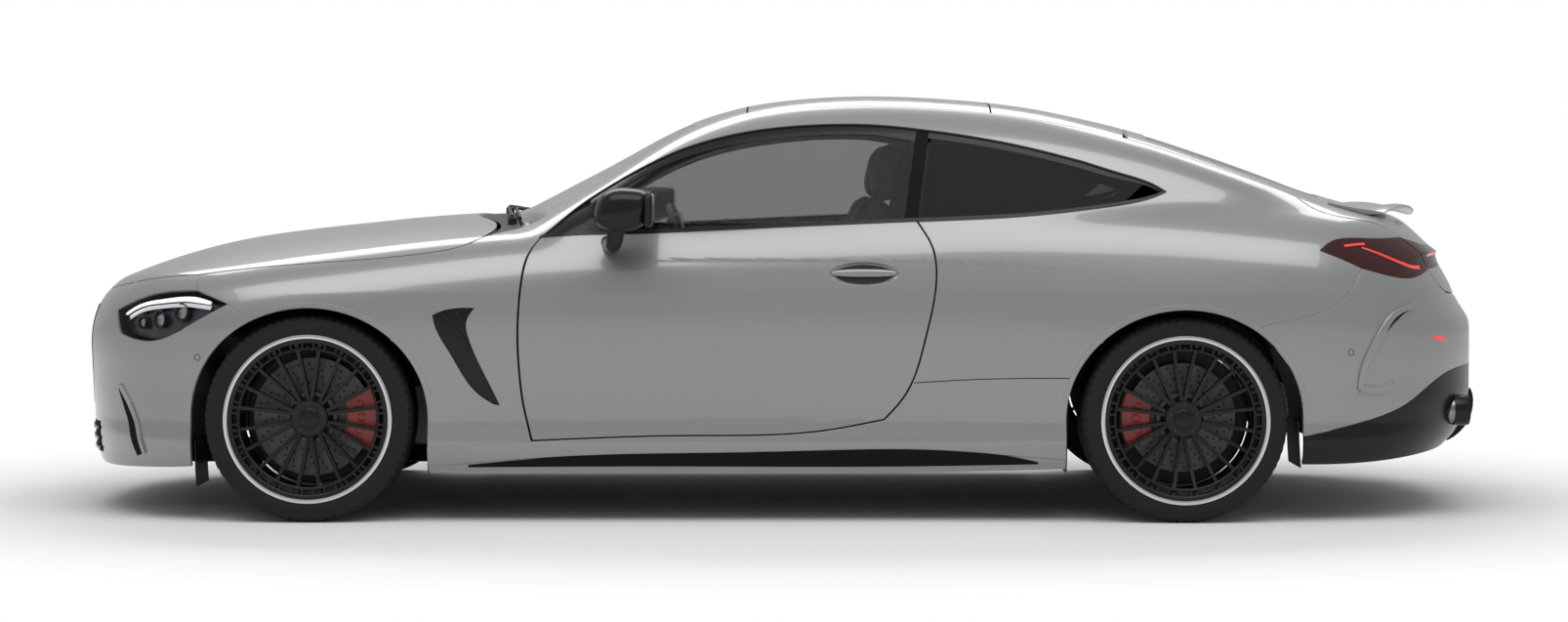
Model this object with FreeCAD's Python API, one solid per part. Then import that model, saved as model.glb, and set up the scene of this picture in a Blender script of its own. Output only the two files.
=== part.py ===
import FreeCAD, Part
import math
import os

Vector = FreeCAD.Vector

# A two-door coupe car. The nose points along -X, +Z is up, the ground is Z = 0 and
# the car's left side is -Y. The origin lies on the ground, midway along and across the car.

# Driving dimensions, in millimetres and degrees
SIZES = [
    ("front_overhang", 864),
    ("wheelbase", 2875),
    ("rear_overhang", 1111),
    ("body_width", 1940),
    ("belt_height", 950),
    ("body_height", 1418),
    ("floor_height", 160),
    ("floor_wall", 25),
    ("shut_gap", 5),
    ("door_hinge_gap", 6),
    ("bonnet_rear_gap", 14),
    ("gate_front_gap", 15),
    ("barrel_radius", 5.5),
    ("barrel_pin_radius", 3),
    ("barrel_length", 30),
    ("joint_gap", 0.6),
    ("glass_gap", 0.8),
    ("pillar_gap", 9),
    ("lamp_gap", 1.6),
    ("shelf_step", 12),
    ("side_wall", 30),
    ("wing_wall", 3.5),
    ("bonnet_wall", 16),
    ("roof_wall", 20),
    ("gate_wall", 16),
    ("bumper_wall", 10),
    ("lamp_depth", 28),
    ("door_skin", 12),
    ("door_depth", 95),
    ("door_flange", 30),
    ("door_front_flange", 92),
    ("glass_wall", 5),
    ("glass_recess", 4),
    ("liner_wall", 3),
    ("front_tyre_radius", 340),
    ("rear_tyre_radius", 336.5),
    ("front_tyre_width", 245),
    ("rear_tyre_width", 275),
    ("front_track", 1625),
    ("rear_track", 1625),
    ("arch_reach", 52),
    ("arch_rise", 25),
    ("bead_radius", 258),
    ("rim_flange_radius", 275),
    ("rim_wall", 7),
    ("hub_radius", 72),
    ("hub_bore_radius", 30),
    ("spoke_pairs", 10),
    ("spoke_width", 11),
    ("spoke_depth", 30),
    ("front_disc_radius", 195),
    ("rear_disc_radius", 180),
    ("disc_wall", 32),
    ("bore_clearance", 0.3),
    ("kingpin_offset", 50),
    ("ball_joint_radius", 16),
    ("door_pivot_back", 76),
    ("door_pivot_in", 37),
    ("pin_radius", 5),
    ("steering_wheel_radius", 182),
    ("exhaust_radius", 45),
]

document = FreeCAD.newDocument("Coupe")
sheet = document.addObject("Spreadsheet::Sheet", "Sizes")
for row, (name, value) in enumerate(SIZES, start=1):
    sheet.set("A%d" % row, name)
    sheet.set("B%d" % row, str(value))
    sheet.setAlias("B%d" % row, name)
document.recompute()


class Sizes:
    """The sheet's values under their own names."""


size = Sizes()
for name, value in SIZES:
    setattr(size, name, float(getattr(sheet, name)))

car_length = size.front_overhang + size.wheelbase + size.rear_overhang
front_axle_x = -car_length / 2 + size.front_overhang
rear_axle_x = car_length / 2 - size.rear_overhang


# The form of the body. It is drawn at the layout below and carried to the driving dimensions.
LAYOUT_X = (-2425.0, -1561.0, 1314.0, 2425.0)
LAYOUT_Z = (0.0, 950.0, 1418.0)
LAYOUT_HALF_WIDTH = 970.0


def piecewise(value, knots, targets):
    """Carries a value from one row of knots to another, straight between them."""
    last = len(knots) - 2
    i = 0
    while i < last and value > knots[i + 1]:
        i += 1
    t = (value - knots[i]) / (knots[i + 1] - knots[i])
    return targets[i] + t * (targets[i + 1] - targets[i])


REAL_X = (-car_length / 2, front_axle_x, rear_axle_x, car_length / 2)
REAL_Z = (0.0, size.belt_height, size.body_height)
half_body = size.body_width / 2


def real(x, y, z):
    """A point of the layout as a point of the car."""
    return Vector(piecewise(x, LAYOUT_X, REAL_X), y * half_body / LAYOUT_HALF_WIDTH,
                  piecewise(z, LAYOUT_Z, REAL_Z))


def curve(*points):
    """A smooth curve value(x) through (x, value) points that never overshoots them."""
    xs = [p[0] for p in points]
    vs = [p[1] for p in points]
    count = len(xs)
    slopes = [(vs[i + 1] - vs[i]) / (xs[i + 1] - xs[i]) for i in range(count - 1)]
    tangents = [slopes[0]] + [0.0] * (count - 2) + [slopes[-1]]
    for i in range(1, count - 1):
        before, after = slopes[i - 1], slopes[i]
        if before * after > 0:
            w1 = 2 * (xs[i + 1] - xs[i]) + (xs[i] - xs[i - 1])
            w2 = (xs[i + 1] - xs[i]) + 2 * (xs[i] - xs[i - 1])
            tangents[i] = (w1 + w2) / (w1 / before + w2 / after)

    def value(x):
        if x <= xs[0]:
            return vs[0] + tangents[0] * (x - xs[0])
        if x >= xs[-1]:
            return vs[-1] + tangents[-1] * (x - xs[-1])
        i = 0
        while x > xs[i + 1]:
            i += 1
        span = xs[i + 1] - xs[i]
        t = (x - xs[i]) / span
        return ((1 + 2 * t) * (1 - t) ** 2 * vs[i] + t * (1 - t) ** 2 * span * tangents[i]
                + t * t * (3 - 2 * t) * vs[i + 1] + t * t * (t - 1) * span * tangents[i + 1])
    return value


# Character curves of the side view and the cross sections, in the layout
bonnet_and_deck = curve((-2425, 650), (-2400, 705), (-2367, 748), (-2311, 782), (-2256, 806),
                        (-2102, 862), (-1893, 915), (-1684, 946), (-1475, 969), (-1266, 990),
                        (-1056, 1004), (-936, 1008), (-400, 985), (0, 975), (900, 975),
                        (1600, 1010), (1872, 1030), (1977, 1026), (2100, 1008), (2242, 972),
                        (2425, 900))
shoulder = curve((-2425, 600), (-2256, 735), (-1938, 800), (-1650, 845), (-1370, 877),
                 (-1043, 912), (-800, 934), (-430, 952), (0, 970), (410, 987), (800, 1003),
                 (1200, 1008), (1600, 985), (1900, 958), (2100, 928), (2240, 900), (2425, 850))
nose = curve((120, -2330), (160, -2392), (200, -2404), (300, -2413), (450, -2420),
             (600, -2425), (680, -2424), (760, -2412), (850, -2390))
tail = curve((200, 2290), (260, 2350), (320, 2385), (400, 2402), (600, 2402), (640, 2398),
             (663, 2386), (690, 2368), (725, 2347), (776, 2324), (811, 2304), (852, 2282),
             (880, 2264), (917, 2243), (960, 2222), (1050, 2190))
flank = curve((120, 850), (165, 880), (215, 915), (265, 924), (330, 912), (430, 914),
              (560, 924), (690, 930), (748, 930), (775, 926), (820, 916), (900, 892),
              (975, 866), (1050, 838))
roof_line = curve((-1040, 951), (-936, 1005), (-630, 1164), (-323, 1323), (-220, 1358),
                  (-115, 1384), (-10, 1400), (94, 1410), (199, 1416), (303, 1418),
                  (408, 1416), (617, 1404), (826, 1381), (1035, 1341), (1245, 1289),
                  (1454, 1222), (1663, 1148), (1872, 1066), (1977, 1022), (2150, 940))
roof_crown = curve((-1000, 105), (-323, 62), (100, 44), (700, 44), (1245, 62), (1900, 70))
cabin_side = curve((900, 868), (970, 845), (1100, 775), (1220, 702), (1330, 612), (1420, 525))
cabin_taper = curve((-1000, 45), (-600, 18), (-200, 0), (500, 0), (1000, 28), (1500, 80),
                    (1900, 135), (2200, 190))
cabin_blend = curve((-1000, 30), (400, 30), (1000, 60), (1600, 90), (2200, 60))
FRONT_FLARE, FRONT_FLARE_REACH = 22.0, 430.0
REAR_FLARE, REAR_FLARE_REACH = 40.0, 560.0
FLARE_HEIGHT, FLARE_RISE = 600.0, 330.0
FRONT_TURN_X, REAR_TURN_X = -1650.0, 1560.0
CABIN_FLOOR = 880.0


def bump(t):
    return math.exp(-t * t)


def blend_max(a, b, width):
    overlap = max(width - abs(a - b), 0.0) / width
    return max(a, b) + overlap * overlap * width / 4


def half_width(x, z):
    rise = bump((z - FLARE_HEIGHT) / FLARE_RISE)
    front = FRONT_FLARE * bump((x - LAYOUT_X[1]) / FRONT_FLARE_REACH)
    rear = REAR_FLARE * bump((x - LAYOUT_X[2]) / REAR_FLARE_REACH)
    return flank(z) + (front + rear) * rise


def lower_body(x, y, z):
    """Below zero inside the body under the windows."""
    front = max(0.0, (FRONT_TURN_X - x) / (FRONT_TURN_X - nose(z)))
    rear = max(0.0, (x - REAR_TURN_X) / (tail(z) - REAR_TURN_X))
    outline = (y / half_width(x, z)) ** 2.3 + front ** 2.7 + rear ** 2.9
    side = 900 * (outline ** (1 / 2.3) - 1)
    centre = bonnet_and_deck(x)
    top = z - (centre + (shoulder(x) - centre) * (y / 830) ** 2.3)
    return blend_max(side, top, 150)


def cabin(x, y, z):
    """Below zero inside the cabin's form."""
    side = y - (cabin_side(z) - cabin_taper(x))
    top = z - (roof_line(x) - roof_crown(x) * (y / 700) ** 2)
    return max(blend_max(0.8 * side, top, 110), CABIN_FLOOR - z)


def form(point):
    """Below zero inside the whole body, above zero outside."""
    x = piecewise(point.x, REAL_X, LAYOUT_X)
    y = abs(point.y) * LAYOUT_HALF_WIDTH / half_body
    z = piecewise(point.z, REAL_Z, LAYOUT_Z)
    return -blend_max(-lower_body(x, y, z), -cabin(x, y, z), cabin_blend(x))


def cast(start, direction, reach):
    """The point where a ray from inside leaves the form."""
    near, far = 0.0, reach
    while far - near > 0.002:
        middle = (near + far) / 2
        if form(start + direction * middle) < 0:
            near = middle
        else:
            far = middle
    return start + direction * near


def normal(point):
    step = 0.5
    gradient = Vector(*[form(point + e * step) - form(point - e * step)
                        for e in (Vector(1, 0, 0), Vector(0, 1, 0), Vector(0, 0, 1))])
    return gradient.normalize()


NOSE_CENTRE_X, TAIL_CENTRE_X = -1600.0, 1600.0
CENTRE_Z = 520.0


def centre_of(point):
    """The inner point from which the form is seen at a point near its surface."""
    low, high = real(NOSE_CENTRE_X, 0, 0).x, real(TAIL_CENTRE_X, 0, 0).x
    return Vector(min(max(point.x, low), high), 0, real(0, 0, CENTRE_Z).z)


def seat(point):
    """Moves a nearby point onto the form's surface."""
    centre = centre_of(point)
    away = point - centre
    distance = away.Length
    return cast(centre, away / distance, 1.6 * distance)


def side_point(x, z):
    """The point of the left side at a place of the side view."""
    start = real(x, 0, z)
    return cast(start, Vector(0, -1, 0), 1.2 * half_body)


def plan_point(x, y):
    """The point of the top at a place of the plan view."""
    start = real(x, y, CENTRE_Z)
    return cast(start, Vector(0, 0, 1), size.body_height)


def side_line(*places):
    return [side_point(x, z) for x, z in places]


def plan_line(*places):
    return [plan_point(x, y) for x, y in places]


def mirrored(points):
    return [Vector(p.x, -p.y, p.z) for p in points]


def run(points, count):
    """Evenly spaced points on the form along a smooth line through the given ones."""
    if len(points) > 2:
        line = Part.BSplineCurve()
        line.interpolate(points)
        spaced = line.toShape().discretize(Number=count)
    else:
        spaced = [points[0] + (points[1] - points[0]) * (i / (count - 1)) for i in range(count)]
    return [points[0]] + [seat(p) for p in spaced[1:-1]] + [points[-1]]


def join(*lines):
    """Lines that follow each other as one list of points."""
    joined = list(lines[0])
    for line in lines[1:]:
        joined += line[1:]
    return joined


def arch_point(axle_x, radius, angle):
    """A point of a wheel arch, 0 degrees ahead of the axle and 90 degrees above it."""
    turn = math.radians(angle)
    start = Vector(axle_x - (radius + size.arch_reach) * math.cos(turn), 0,
                   radius + (radius + size.arch_rise) * math.sin(turn))
    return cast(start, Vector(0, -1, 0), 1.2 * half_body)


def arch(axle_x, radius, first, last, count):
    turns = [first + (last - first) * i / (count - 1) for i in range(count)]
    return [arch_point(axle_x, radius, angle) for angle in turns]


def loop_inset(lines, gaps):
    """Moves a closed loop of lines inwards over the surface, each line by its own gap.

    The lines run anticlockwise as seen from outside."""
    count = len(lines)

    def inward(line, i):
        ahead = line[min(i + 1, len(line) - 1)]
        behind = line[max(i - 1, 0)]
        return normal(line[i]).cross(ahead - behind).normalize()

    moved = []
    for k, line in enumerate(lines):
        moved.append([line[i] + inward(line, i) * gaps[k] for i in range(len(line))])
    for k, line in enumerate(lines):
        before = (k - 1) % count
        corner = line[0]
        a = inward(lines[before], len(lines[before]) - 1)
        b = inward(line, 0)
        cosine = a.dot(b)
        spread = max(1 - cosine * cosine, 0.1)
        shift = (a * (gaps[before] - cosine * gaps[k]) + b * (gaps[k] - cosine * gaps[before])) / spread
        moved[before][-1] = corner + shift
        moved[k][0] = corner + shift
    result = []
    for k, line in enumerate(moved):
        result.append([seat(p) for p in line])
    for k in range(count):
        result[k][0] = result[k - 1][-1]
    return result


def coons(bottom, right, top, left):
    """A grid of points on the form inside four lines: grid[column][row].

    The bottom and the top run the same way, and so do the left and the right."""
    columns, rows = len(bottom), len(left)
    grid = []
    for i in range(columns):
        u = i / (columns - 1)
        column = []
        for j in range(rows):
            v = j / (rows - 1)
            if i == 0:
                point = left[j]
            elif i == columns - 1:
                point = right[j]
            elif j == 0:
                point = bottom[i]
            elif j == rows - 1:
                point = top[i]
            else:
                point = (bottom[i] * (1 - v) + top[i] * v + left[j] * (1 - u) + right[j] * u
                         - bottom[0] * (1 - u) * (1 - v) - bottom[-1] * u * (1 - v)
                         - top[0] * (1 - u) * v - top[-1] * u * v)
                point = seat(point)
            column.append(point)
        grid.append(column)
    return grid


# Spline sheets through grids of points, and closed solids made of them
def spline_poles(points):
    count = len(points)
    if count == 2:
        return list(points)
    tangents = [(points[i + 1] - points[i - 1]) / 2 for i in range(1, count - 1)]
    first = (points[1] * 4 - points[0] * 3 - points[2]) / 2
    last = (points[-1] * 3 - points[-2] * 4 + points[-3]) / 2
    tangents = [first] + tangents + [last]
    poles = [points[0]]
    for i in range(count - 1):
        poles.append(points[i] + tangents[i] / 3)
        poles.append(points[i + 1] - tangents[i + 1] / 3)
    return poles + [points[-1]]


def spline_knots(count):
    if count == 2:
        return [2, 2], [0.0, 1.0], 1
    return [4] + [2] * (count - 2) + [4], [float(i) for i in range(count)], 3


def spline_face(grid):
    """A face through a grid of points whose edges depend on their own points alone."""
    rows = [spline_poles(row) for row in grid]
    columns = [spline_poles([row[j] for row in rows]) for j in range(len(rows[0]))]
    poles = [[column[i] for column in columns] for i in range(len(columns[0]))]
    u_mults, u_knots, u_degree = spline_knots(len(grid))
    v_mults, v_knots, v_degree = spline_knots(len(grid[0]))
    surface = Part.BSplineSurface()
    surface.buildFromPolesMultsKnots(poles, u_mults, v_mults, u_knots, v_knots,
                                     False, False, u_degree, v_degree)
    return surface.toShape()


def cells(grid, column_breaks=(), row_breaks=(), left_out=()):
    """Cuts a grid along its creases, less the cells that are openings."""
    columns = [0] + list(column_breaks) + [len(grid) - 1]
    rows = [0] + list(row_breaks) + [len(grid[0]) - 1]
    pieces = []
    for i in range(len(columns) - 1):
        for j in range(len(rows) - 1):
            if (i, j) not in left_out:
                pieces.append([column[rows[j]:rows[j + 1] + 1]
                               for column in grid[columns[i]:columns[i + 1] + 1]])
    return pieces


def mirrored_grid(grid):
    return [mirrored(column) for column in reversed(grid)]


def key_of(points):
    ends = sorted([tuple(round(c, 2) for c in p) for p in (points[0], points[-1])])
    middle = points[len(points) // 2] + points[(len(points) - 1) // 2]
    return tuple(ends) + (tuple(round(c, 1) for c in middle),)


def close_solid(faces):
    skin = Part.makeCompound(faces)
    skin.sewShape(0.01)
    shell = skin if skin.ShapeType == "Shell" else skin.Shells[0]
    solid = Part.Solid(shell)
    if solid.Volume < 0:
        solid.reverse()
    return solid


def thick(grids, outer_depth, inner_depth):
    """One solid between two depths under the form, over grids that share their edges."""
    directions = {}

    def under(point, depth):
        name = (round(point.x, 4), round(point.y, 4), round(point.z, 4))
        if name not in directions:
            directions[name] = normal(point)
        return point - directions[name] * depth

    faces = []
    open_edges = {}
    for grid in grids:
        outer = [[under(p, outer_depth) for p in column] for column in grid]
        inner = [[under(p, inner_depth) for p in column] for column in grid]
        faces.append(spline_face(outer))
        faces.append(spline_face(inner))
        for pick in (lambda g: g[0], lambda g: g[-1],
                     lambda g: [c[0] for c in g], lambda g: [c[-1] for c in g]):
            key = key_of(pick(grid))
            if key in open_edges:
                del open_edges[key]
            else:
                open_edges[key] = [pick(outer), pick(inner)]
    for pair in open_edges.values():
        faces.append(spline_face(pair))
    return close_solid(faces)


def mirror_solid(shape):
    return shape.mirror(Vector(0, 0, 0), Vector(0, 1, 0))


def pair(shape):
    """A left-hand shape with its right-hand mirror image."""
    return Part.makeCompound([shape, mirror_solid(shape)])


def box(x0, x1, y0, y1, z0, z1):
    return Part.makeBox(x1 - x0, y1 - y0, z1 - z0, Vector(x0, y0, z0))


def rod(start, end, radius):
    return Part.makeCylinder(radius, (end - start).Length, start, end - start)


def barrel_hinge(axis, side, web_x):
    """One barrel across the car with its bore, and the pin with its two ears.

    The barrel's web runs to web_x on one side of the axis and the ears leave on the other."""
    half = size.barrel_length / 2
    ear = 6.0
    ahead = 1 if web_x > axis.x else -1
    foot = Vector(axis.x, side * axis.y - half, axis.z)
    barrel = Part.makeCylinder(size.barrel_radius, 2 * half, foot, Vector(0, 1, 0))
    x0, x1 = sorted((axis.x, web_x))
    barrel = barrel.fuse(box(x0, x1, foot.y, foot.y + 2 * half, axis.z - 5, axis.z + 3))
    bore = Part.makeCylinder(size.barrel_pin_radius + size.bore_clearance, 2 * half, foot,
                             Vector(0, 1, 0))
    barrel = barrel.cut(bore)
    pin = Part.makeCylinder(size.barrel_pin_radius, 2 * half + 2 * ear,
                            foot - Vector(0, ear, 0), Vector(0, 1, 0))
    ear_x = axis.x - ahead * (size.barrel_radius + 9)
    x0, x1 = sorted((axis.x, ear_x))
    for y in (foot.y - ear, foot.y + 2 * half + 0.5):
        pin = pin.fuse(box(x0, x1, y, y + ear - 0.5, axis.z - 5, axis.z + 3))
    return barrel, pin


nodes = []


def add_node(label, shape, place=None):
    feature = document.addObject("Part::Feature", label)
    feature.Label = label
    feature.Shape = shape
    feature.Placement = FreeCAD.Placement(place or Vector(0, 0, 0), FreeCAD.Rotation())
    nodes.append(feature)


# Seams of the body, left side. Each is used by the panels on both sides of it.
gap = size.joint_gap / 2
fr, rr = size.front_tyre_radius, size.rear_tyre_radius
ARCH_FRONT_JOINT = 61.0
ARCH_SPLIT = 135.0
REAR_SPLIT = 45.0
REAR_JOINT = 124.0

wing_sill_corner = side_point(-829, 266)
belt_front = side_point(-809, 933)
front_arch_split = arch_point(front_axle_x, fr, ARCH_SPLIT)
front_arch_joint = arch_point(front_axle_x, fr, ARCH_FRONT_JOINT)
lamp_top = side_point(-1935, 760)
lamp_tip = side_point(-1824, 717)
bonnet_split = side_point(-1946, 807)
cowl_corner = side_point(-993, 936)
bonnet_nose = side_point(-2185, 778)
lamp_nose = side_point(-2233, 687)
lamp_low = side_point(-2215, 612)


def below_arch(axle_x, radius, side, z):
    """The point straight under the end of an arch; side is -1 ahead and 1 behind."""
    start = Vector(axle_x + side * (radius + size.arch_reach), 0, z)
    return cast(start, Vector(0, -1, 0), 1.2 * half_body)


def sill_z(z):
    return real(0, 0, z).z


front_arch_rear_foot = below_arch(front_axle_x, fr, 1, sill_z(245))
front_arch_front_foot = below_arch(front_axle_x, fr, -1, sill_z(178))
rear_arch_front_foot = below_arch(rear_axle_x, rr, -1, sill_z(205))
rear_arch_rear_foot = below_arch(rear_axle_x, rr, 1, sill_z(283))
rear_split = arch_point(rear_axle_x, rr, REAR_SPLIT)
rear_joint = arch_point(rear_axle_x, rr, REAR_JOINT)


def leg(foot, axle_x, radius, angle, count):
    """From the foot of an arch up the straight part and round to an angle."""
    level = 0.0 if angle < 90 else 180.0
    corner = arch_point(axle_x, radius, level)
    drop = (corner - foot).Length
    bend = (radius + size.arch_reach) * math.radians(abs(angle - level))
    line = []
    for i in range(count):
        travel = (drop + bend) * i / (count - 1)
        if travel <= drop:
            line.append(seat_side(foot + (corner - foot) * (travel / drop)))
        else:
            part = (travel - drop) / bend
            line.append(arch_point(axle_x, radius, level + (angle - level) * part))
    return line


def seat_side(point):
    return cast(Vector(point.x, 0, point.z), Vector(0, -1, 0), 1.2 * half_body)


sill_front = run([front_arch_rear_foot, wing_sill_corner], 6)
door_front = run([wing_sill_corner] + side_line((-858, 384), (-872, 500), (-876, 650),
                 (-866, 780), (-845, 880)) + [belt_front], 7)
door_corner = side_point(330, 335)
door_bottom = run([wing_sill_corner] + side_line((-330, 283), (150, 302)) + [door_corner], 6)
belt_rear = side_point(442, 988)
door_rear = run([door_corner] + side_line((400, 417), (464, 594), (496, 740), (503, 820),
                (492, 900)) + [belt_rear], 7)
door_belt = run([belt_front] + side_line((-429, 950), (-10, 969)) + [belt_rear], 6)
bonnet_side = run([bonnet_split] + side_line((-1789, 827), (-1576, 846), (-1204, 878),
                  (-1046, 911)) + [cowl_corner], 6)
pillar_foot = run([cowl_corner, belt_front], 3)
wing_front = join(run([front_arch_joint, lamp_tip], 3), run([lamp_tip, lamp_top], 3),
                  run([lamp_top, bonnet_split], 2))

window_tip = side_point(1275, 1085)
gate_corner = plan_point(1150, -560)
roof_corner = plan_point(-310, -480)
screen_corner = plan_point(-880, -655)
gate_side_end = side_point(1723, 1071)
gate_lamp_top = side_point(2066, 930)
lamp_rear_tip = side_point(1764, 891)
lamp_rear_low = side_point(1904, 832)
gate_lamp_low = side_point(2170, 822)
gate_low = side_point(2245, 742)

bumper_seam_side = run([rear_joint] + side_line((1617, 656), (1780, 699), (1847, 745), (1880, 795))
                       + [lamp_rear_low], 11)

# The side window's opening, and the line that parts the door's glass from the quarter glass
pillar_top = side_point(490, 1290)
window_low = run([belt_rear] + side_line((800, 1005), (1060, 1033), (1240, 1070)) + [window_tip], 6)
window_a = run([belt_front] + side_line((-660, 1055), (-500, 1153), (-340, 1229)), 6)
window_b = join(run([window_a[-1]] + side_line((-170, 1277), (0, 1302), (160, 1311), (320, 1308))
                    + [pillar_top], 5),
                run([pillar_top] + side_line((800, 1237), (1000, 1186)), 3))
window_c = run([window_b[-1]] + side_line((1130, 1145), (1240, 1106)) + [window_tip], 4)
pillar_line = run([belt_rear, pillar_top], 4)
PILLAR_INDEX = 4

sill_low = run([below_arch(front_axle_x, fr, 1, sill_z(180))]
               + side_line((-820, 210), (-200, 228), (330, 238)), 8)
quarter_low = run([sill_low[-1]] + side_line((749, 218)) + [rear_arch_front_foot], 5)


PILLAR_FOOT_GAP = 1.8


def front_wings():
    """Thin panels from the bumper over the wheel to the door."""
    arch_top = arch(front_axle_x, fr, ARCH_FRONT_JOINT, ARCH_SPLIT, 8)
    arch_leg = leg(front_arch_rear_foot, front_axle_x, fr, ARCH_SPLIT, 7)
    lines = [sill_front, door_front, pillar_foot[::-1], bonnet_side[::-1], wing_front[::-1],
             arch_top, arch_leg[::-1]]
    gaps = [gap, 0, PILLAR_FOOT_GAP, 0, gap, 0, 0]
    low, rear, foot, top, front, over, down = loop_inset(lines, gaps)
    split = run([over[-1], rear[-1]], 6)
    upper = coons(over, split, join(top[::-1], foot[::-1]), front[::-1])
    lower = coons(low, rear, split, down[::-1])
    panels = cells(upper, column_breaks=(5,), row_breaks=(2, 4)) + cells(lower, column_breaks=(2, 4))
    panel = thick(panels, 0, size.wing_wall)
    panel = panel.cut(side_prism(vent_front[:-1] + vent_low + vent_rear[-2::-1] + vent_top[-2:0:-1]))
    return Part.makeCompound([pair(panel), pair(vent_insert())])


vent_front = side_line((-1154, 683), (-1144, 642), (-1097, 555), (-1002, 417), (-954, 385))
vent_rear = side_line((-1010, 706), (-1039, 658), (-1033, 610), (-970, 465), (-929, 381))
vent_low = [vent_front[-1], vent_rear[-1]]
vent_top = [vent_front[0]] + side_line((-1112, 699)) + [vent_rear[0]]
VENT_LAP = 3.0
SLOT_INNER_Y = -500.0


def side_prism(corners):
    """A prism across the left side of the car, over the outline of the given points."""
    flat = [Vector(p.x, SLOT_INNER_Y, p.z) for p in corners]
    face = Part.Face(Part.makePolygon(flat + [flat[0]]))
    return face.extrude(Vector(0, SLOT_INNER_Y - half_body, 0))


def vent_insert():
    """The dark plate behind the vent in the wing."""
    lines = [run(vent_low, 3), run(vent_rear[::-1], 6), run(vent_top[::-1], 3), run(vent_front, 6)]
    one, two, three, four = loop_inset(lines, [-VENT_LAP] * 4)
    depth = size.wing_wall + size.joint_gap
    return thick([coons(one, two, three[::-1], four[::-1])], depth, depth + 5)


def body_sides():
    """Each side in one piece: sill, quarter, both pillars and the rail over the door."""
    sill_end = run([sill_low[0], front_arch_rear_foot], 3)
    arch_leg = leg(rear_arch_front_foot, rear_axle_x, rr, REAR_SPLIT, 9)
    arch_top = arch(rear_axle_x, rr, REAR_SPLIT, REAR_JOINT, len(window_low))
    lamp_front = run([lamp_rear_low, lamp_rear_tip], 3)
    lamp_upper = run([lamp_rear_tip] + side_line((1809, 921), (1950, 929)) + [gate_lamp_top], 5)
    gate_rear = run([gate_lamp_top] + side_line((2050, 945), (2010, 967), (1950, 985),
                    (1853, 1001), (1775, 1028)) + [gate_side_end], 5)
    gate_side = run([gate_side_end] + plan_line((1450, -590)) + [gate_corner], 4)
    rail = run([gate_corner] + plan_line((800, -552), (400, -532), (0, -514)) + [roof_corner], 7)
    screen = run([roof_corner] + plan_line((-600, -578)) + [screen_corner], 5)
    cowl_end = run([screen_corner, cowl_corner], 2)
    lines = [sill_low, quarter_low, arch_leg, arch_top, bumper_seam_side, lamp_front, lamp_upper,
             gate_rear, gate_side, rail, screen, cowl_end, pillar_foot, sill_end[::-1]]
    # The front edge of the ring runs from the windscreen round the window opening.
    (low, low_rear, up_arch, over_arch, seam, lamp_a, lamp_b, rear_seam, side_seam, rail_seam,
     screen_seam, cowl_seam) = open_inset(lines[:12], [0, 0, 0, 0, gap, gap, gap, 0, 0, gap,
                                                       gap, gap])
    door_side = [p for p in door_rear]
    q1_left = join(run([low[-1], door_corner], 3), door_side)
    q1_top = run([belt_rear, over_arch[0]], 5)
    q1 = coons(low_rear, up_arch, q1_top, q1_left)
    sill_top = join(run([sill_end_top(low[0]), wing_sill_corner], 3), door_bottom)
    sill = coons(low, q1_left[:3], sill_top, run([low[0], sill_top[0]], 3))
    q2_right = run([over_arch[-1], window_tip], 5)
    q2 = coons(over_arch, q2_right, window_low, q1_top[::-1])
    tip_to_lamp = run([window_tip, lamp_a[-1]], 5)
    q3 = coons(seam[:SEAM_TURN + 1], seam[SEAM_TURN:], join(tip_to_lamp, lamp_a[::-1]), q2_right)
    tip_to_gate = run([window_tip, rear_seam[-1]], 5)
    q4 = coons(lamp_b, rear_seam, tip_to_gate, tip_to_lamp[::-1])
    upper_top = join(cowl_seam[::-1], screen_seam[::-1], rail_seam[::-1], side_seam[::-1])
    foot = run([belt_front, cowl_seam[-1]], 5)
    upper = coons(join(window_a, window_b, window_c), tip_to_gate, upper_top, foot)
    panels = (cells(sill, column_breaks=(2,)) + cells(q1, row_breaks=(2,)) + cells(q2)
              + cells(q3, column_breaks=(4,)) + cells(q4) + cells(upper, column_breaks=(1, 5, 9, 11)))
    return pair(thick(panels, 0, size.side_wall))


SEAM_TURN = 6


def sill_end_top(low_corner):
    return seat_side(Vector(low_corner.x, 0, front_arch_rear_foot.z))


def open_inset(lines, gaps):
    """Like loop_inset, for a chain of lines whose two ends stay free."""
    closed = loop_inset(lines + [[lines[-1][-1], (lines[-1][-1] + lines[0][0]) / 2, lines[0][0]]],
                        list(gaps) + [0])
    return closed[:-1]


def doors():
    """The left door: a thin flange all round and a deep box inside it."""
    outline = [door_bottom, door_rear, door_belt[::-1], door_front[::-1]]

    def slab(flange, front_flange, top_gap, outer_depth, inner_depth):
        low, rear, top, front = loop_inset(outline, [size.shut_gap + flange, size.shut_gap + flange,
                                                     top_gap, size.door_hinge_gap + front_flange])
        grid = coons(low, rear, top[::-1], front[::-1])
        return thick([grid], outer_depth, inner_depth)

    skin = slab(0, 0, 0, 0, size.door_skin)
    inside = slab(size.door_flange, size.door_front_flange, 2, size.door_skin / 2, size.door_depth)
    return skin.fuse(inside)


pivot_x = side_point(-876, 650).x + size.door_pivot_back
pivot_y = side_point(-876, 650).y + size.door_pivot_in
HINGE_HEIGHTS = (450.0, 655.0)
HINGE_HALF = 16.0
HINGE_FORK = 8.0
KNUCKLE_WALL = 4.0


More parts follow.
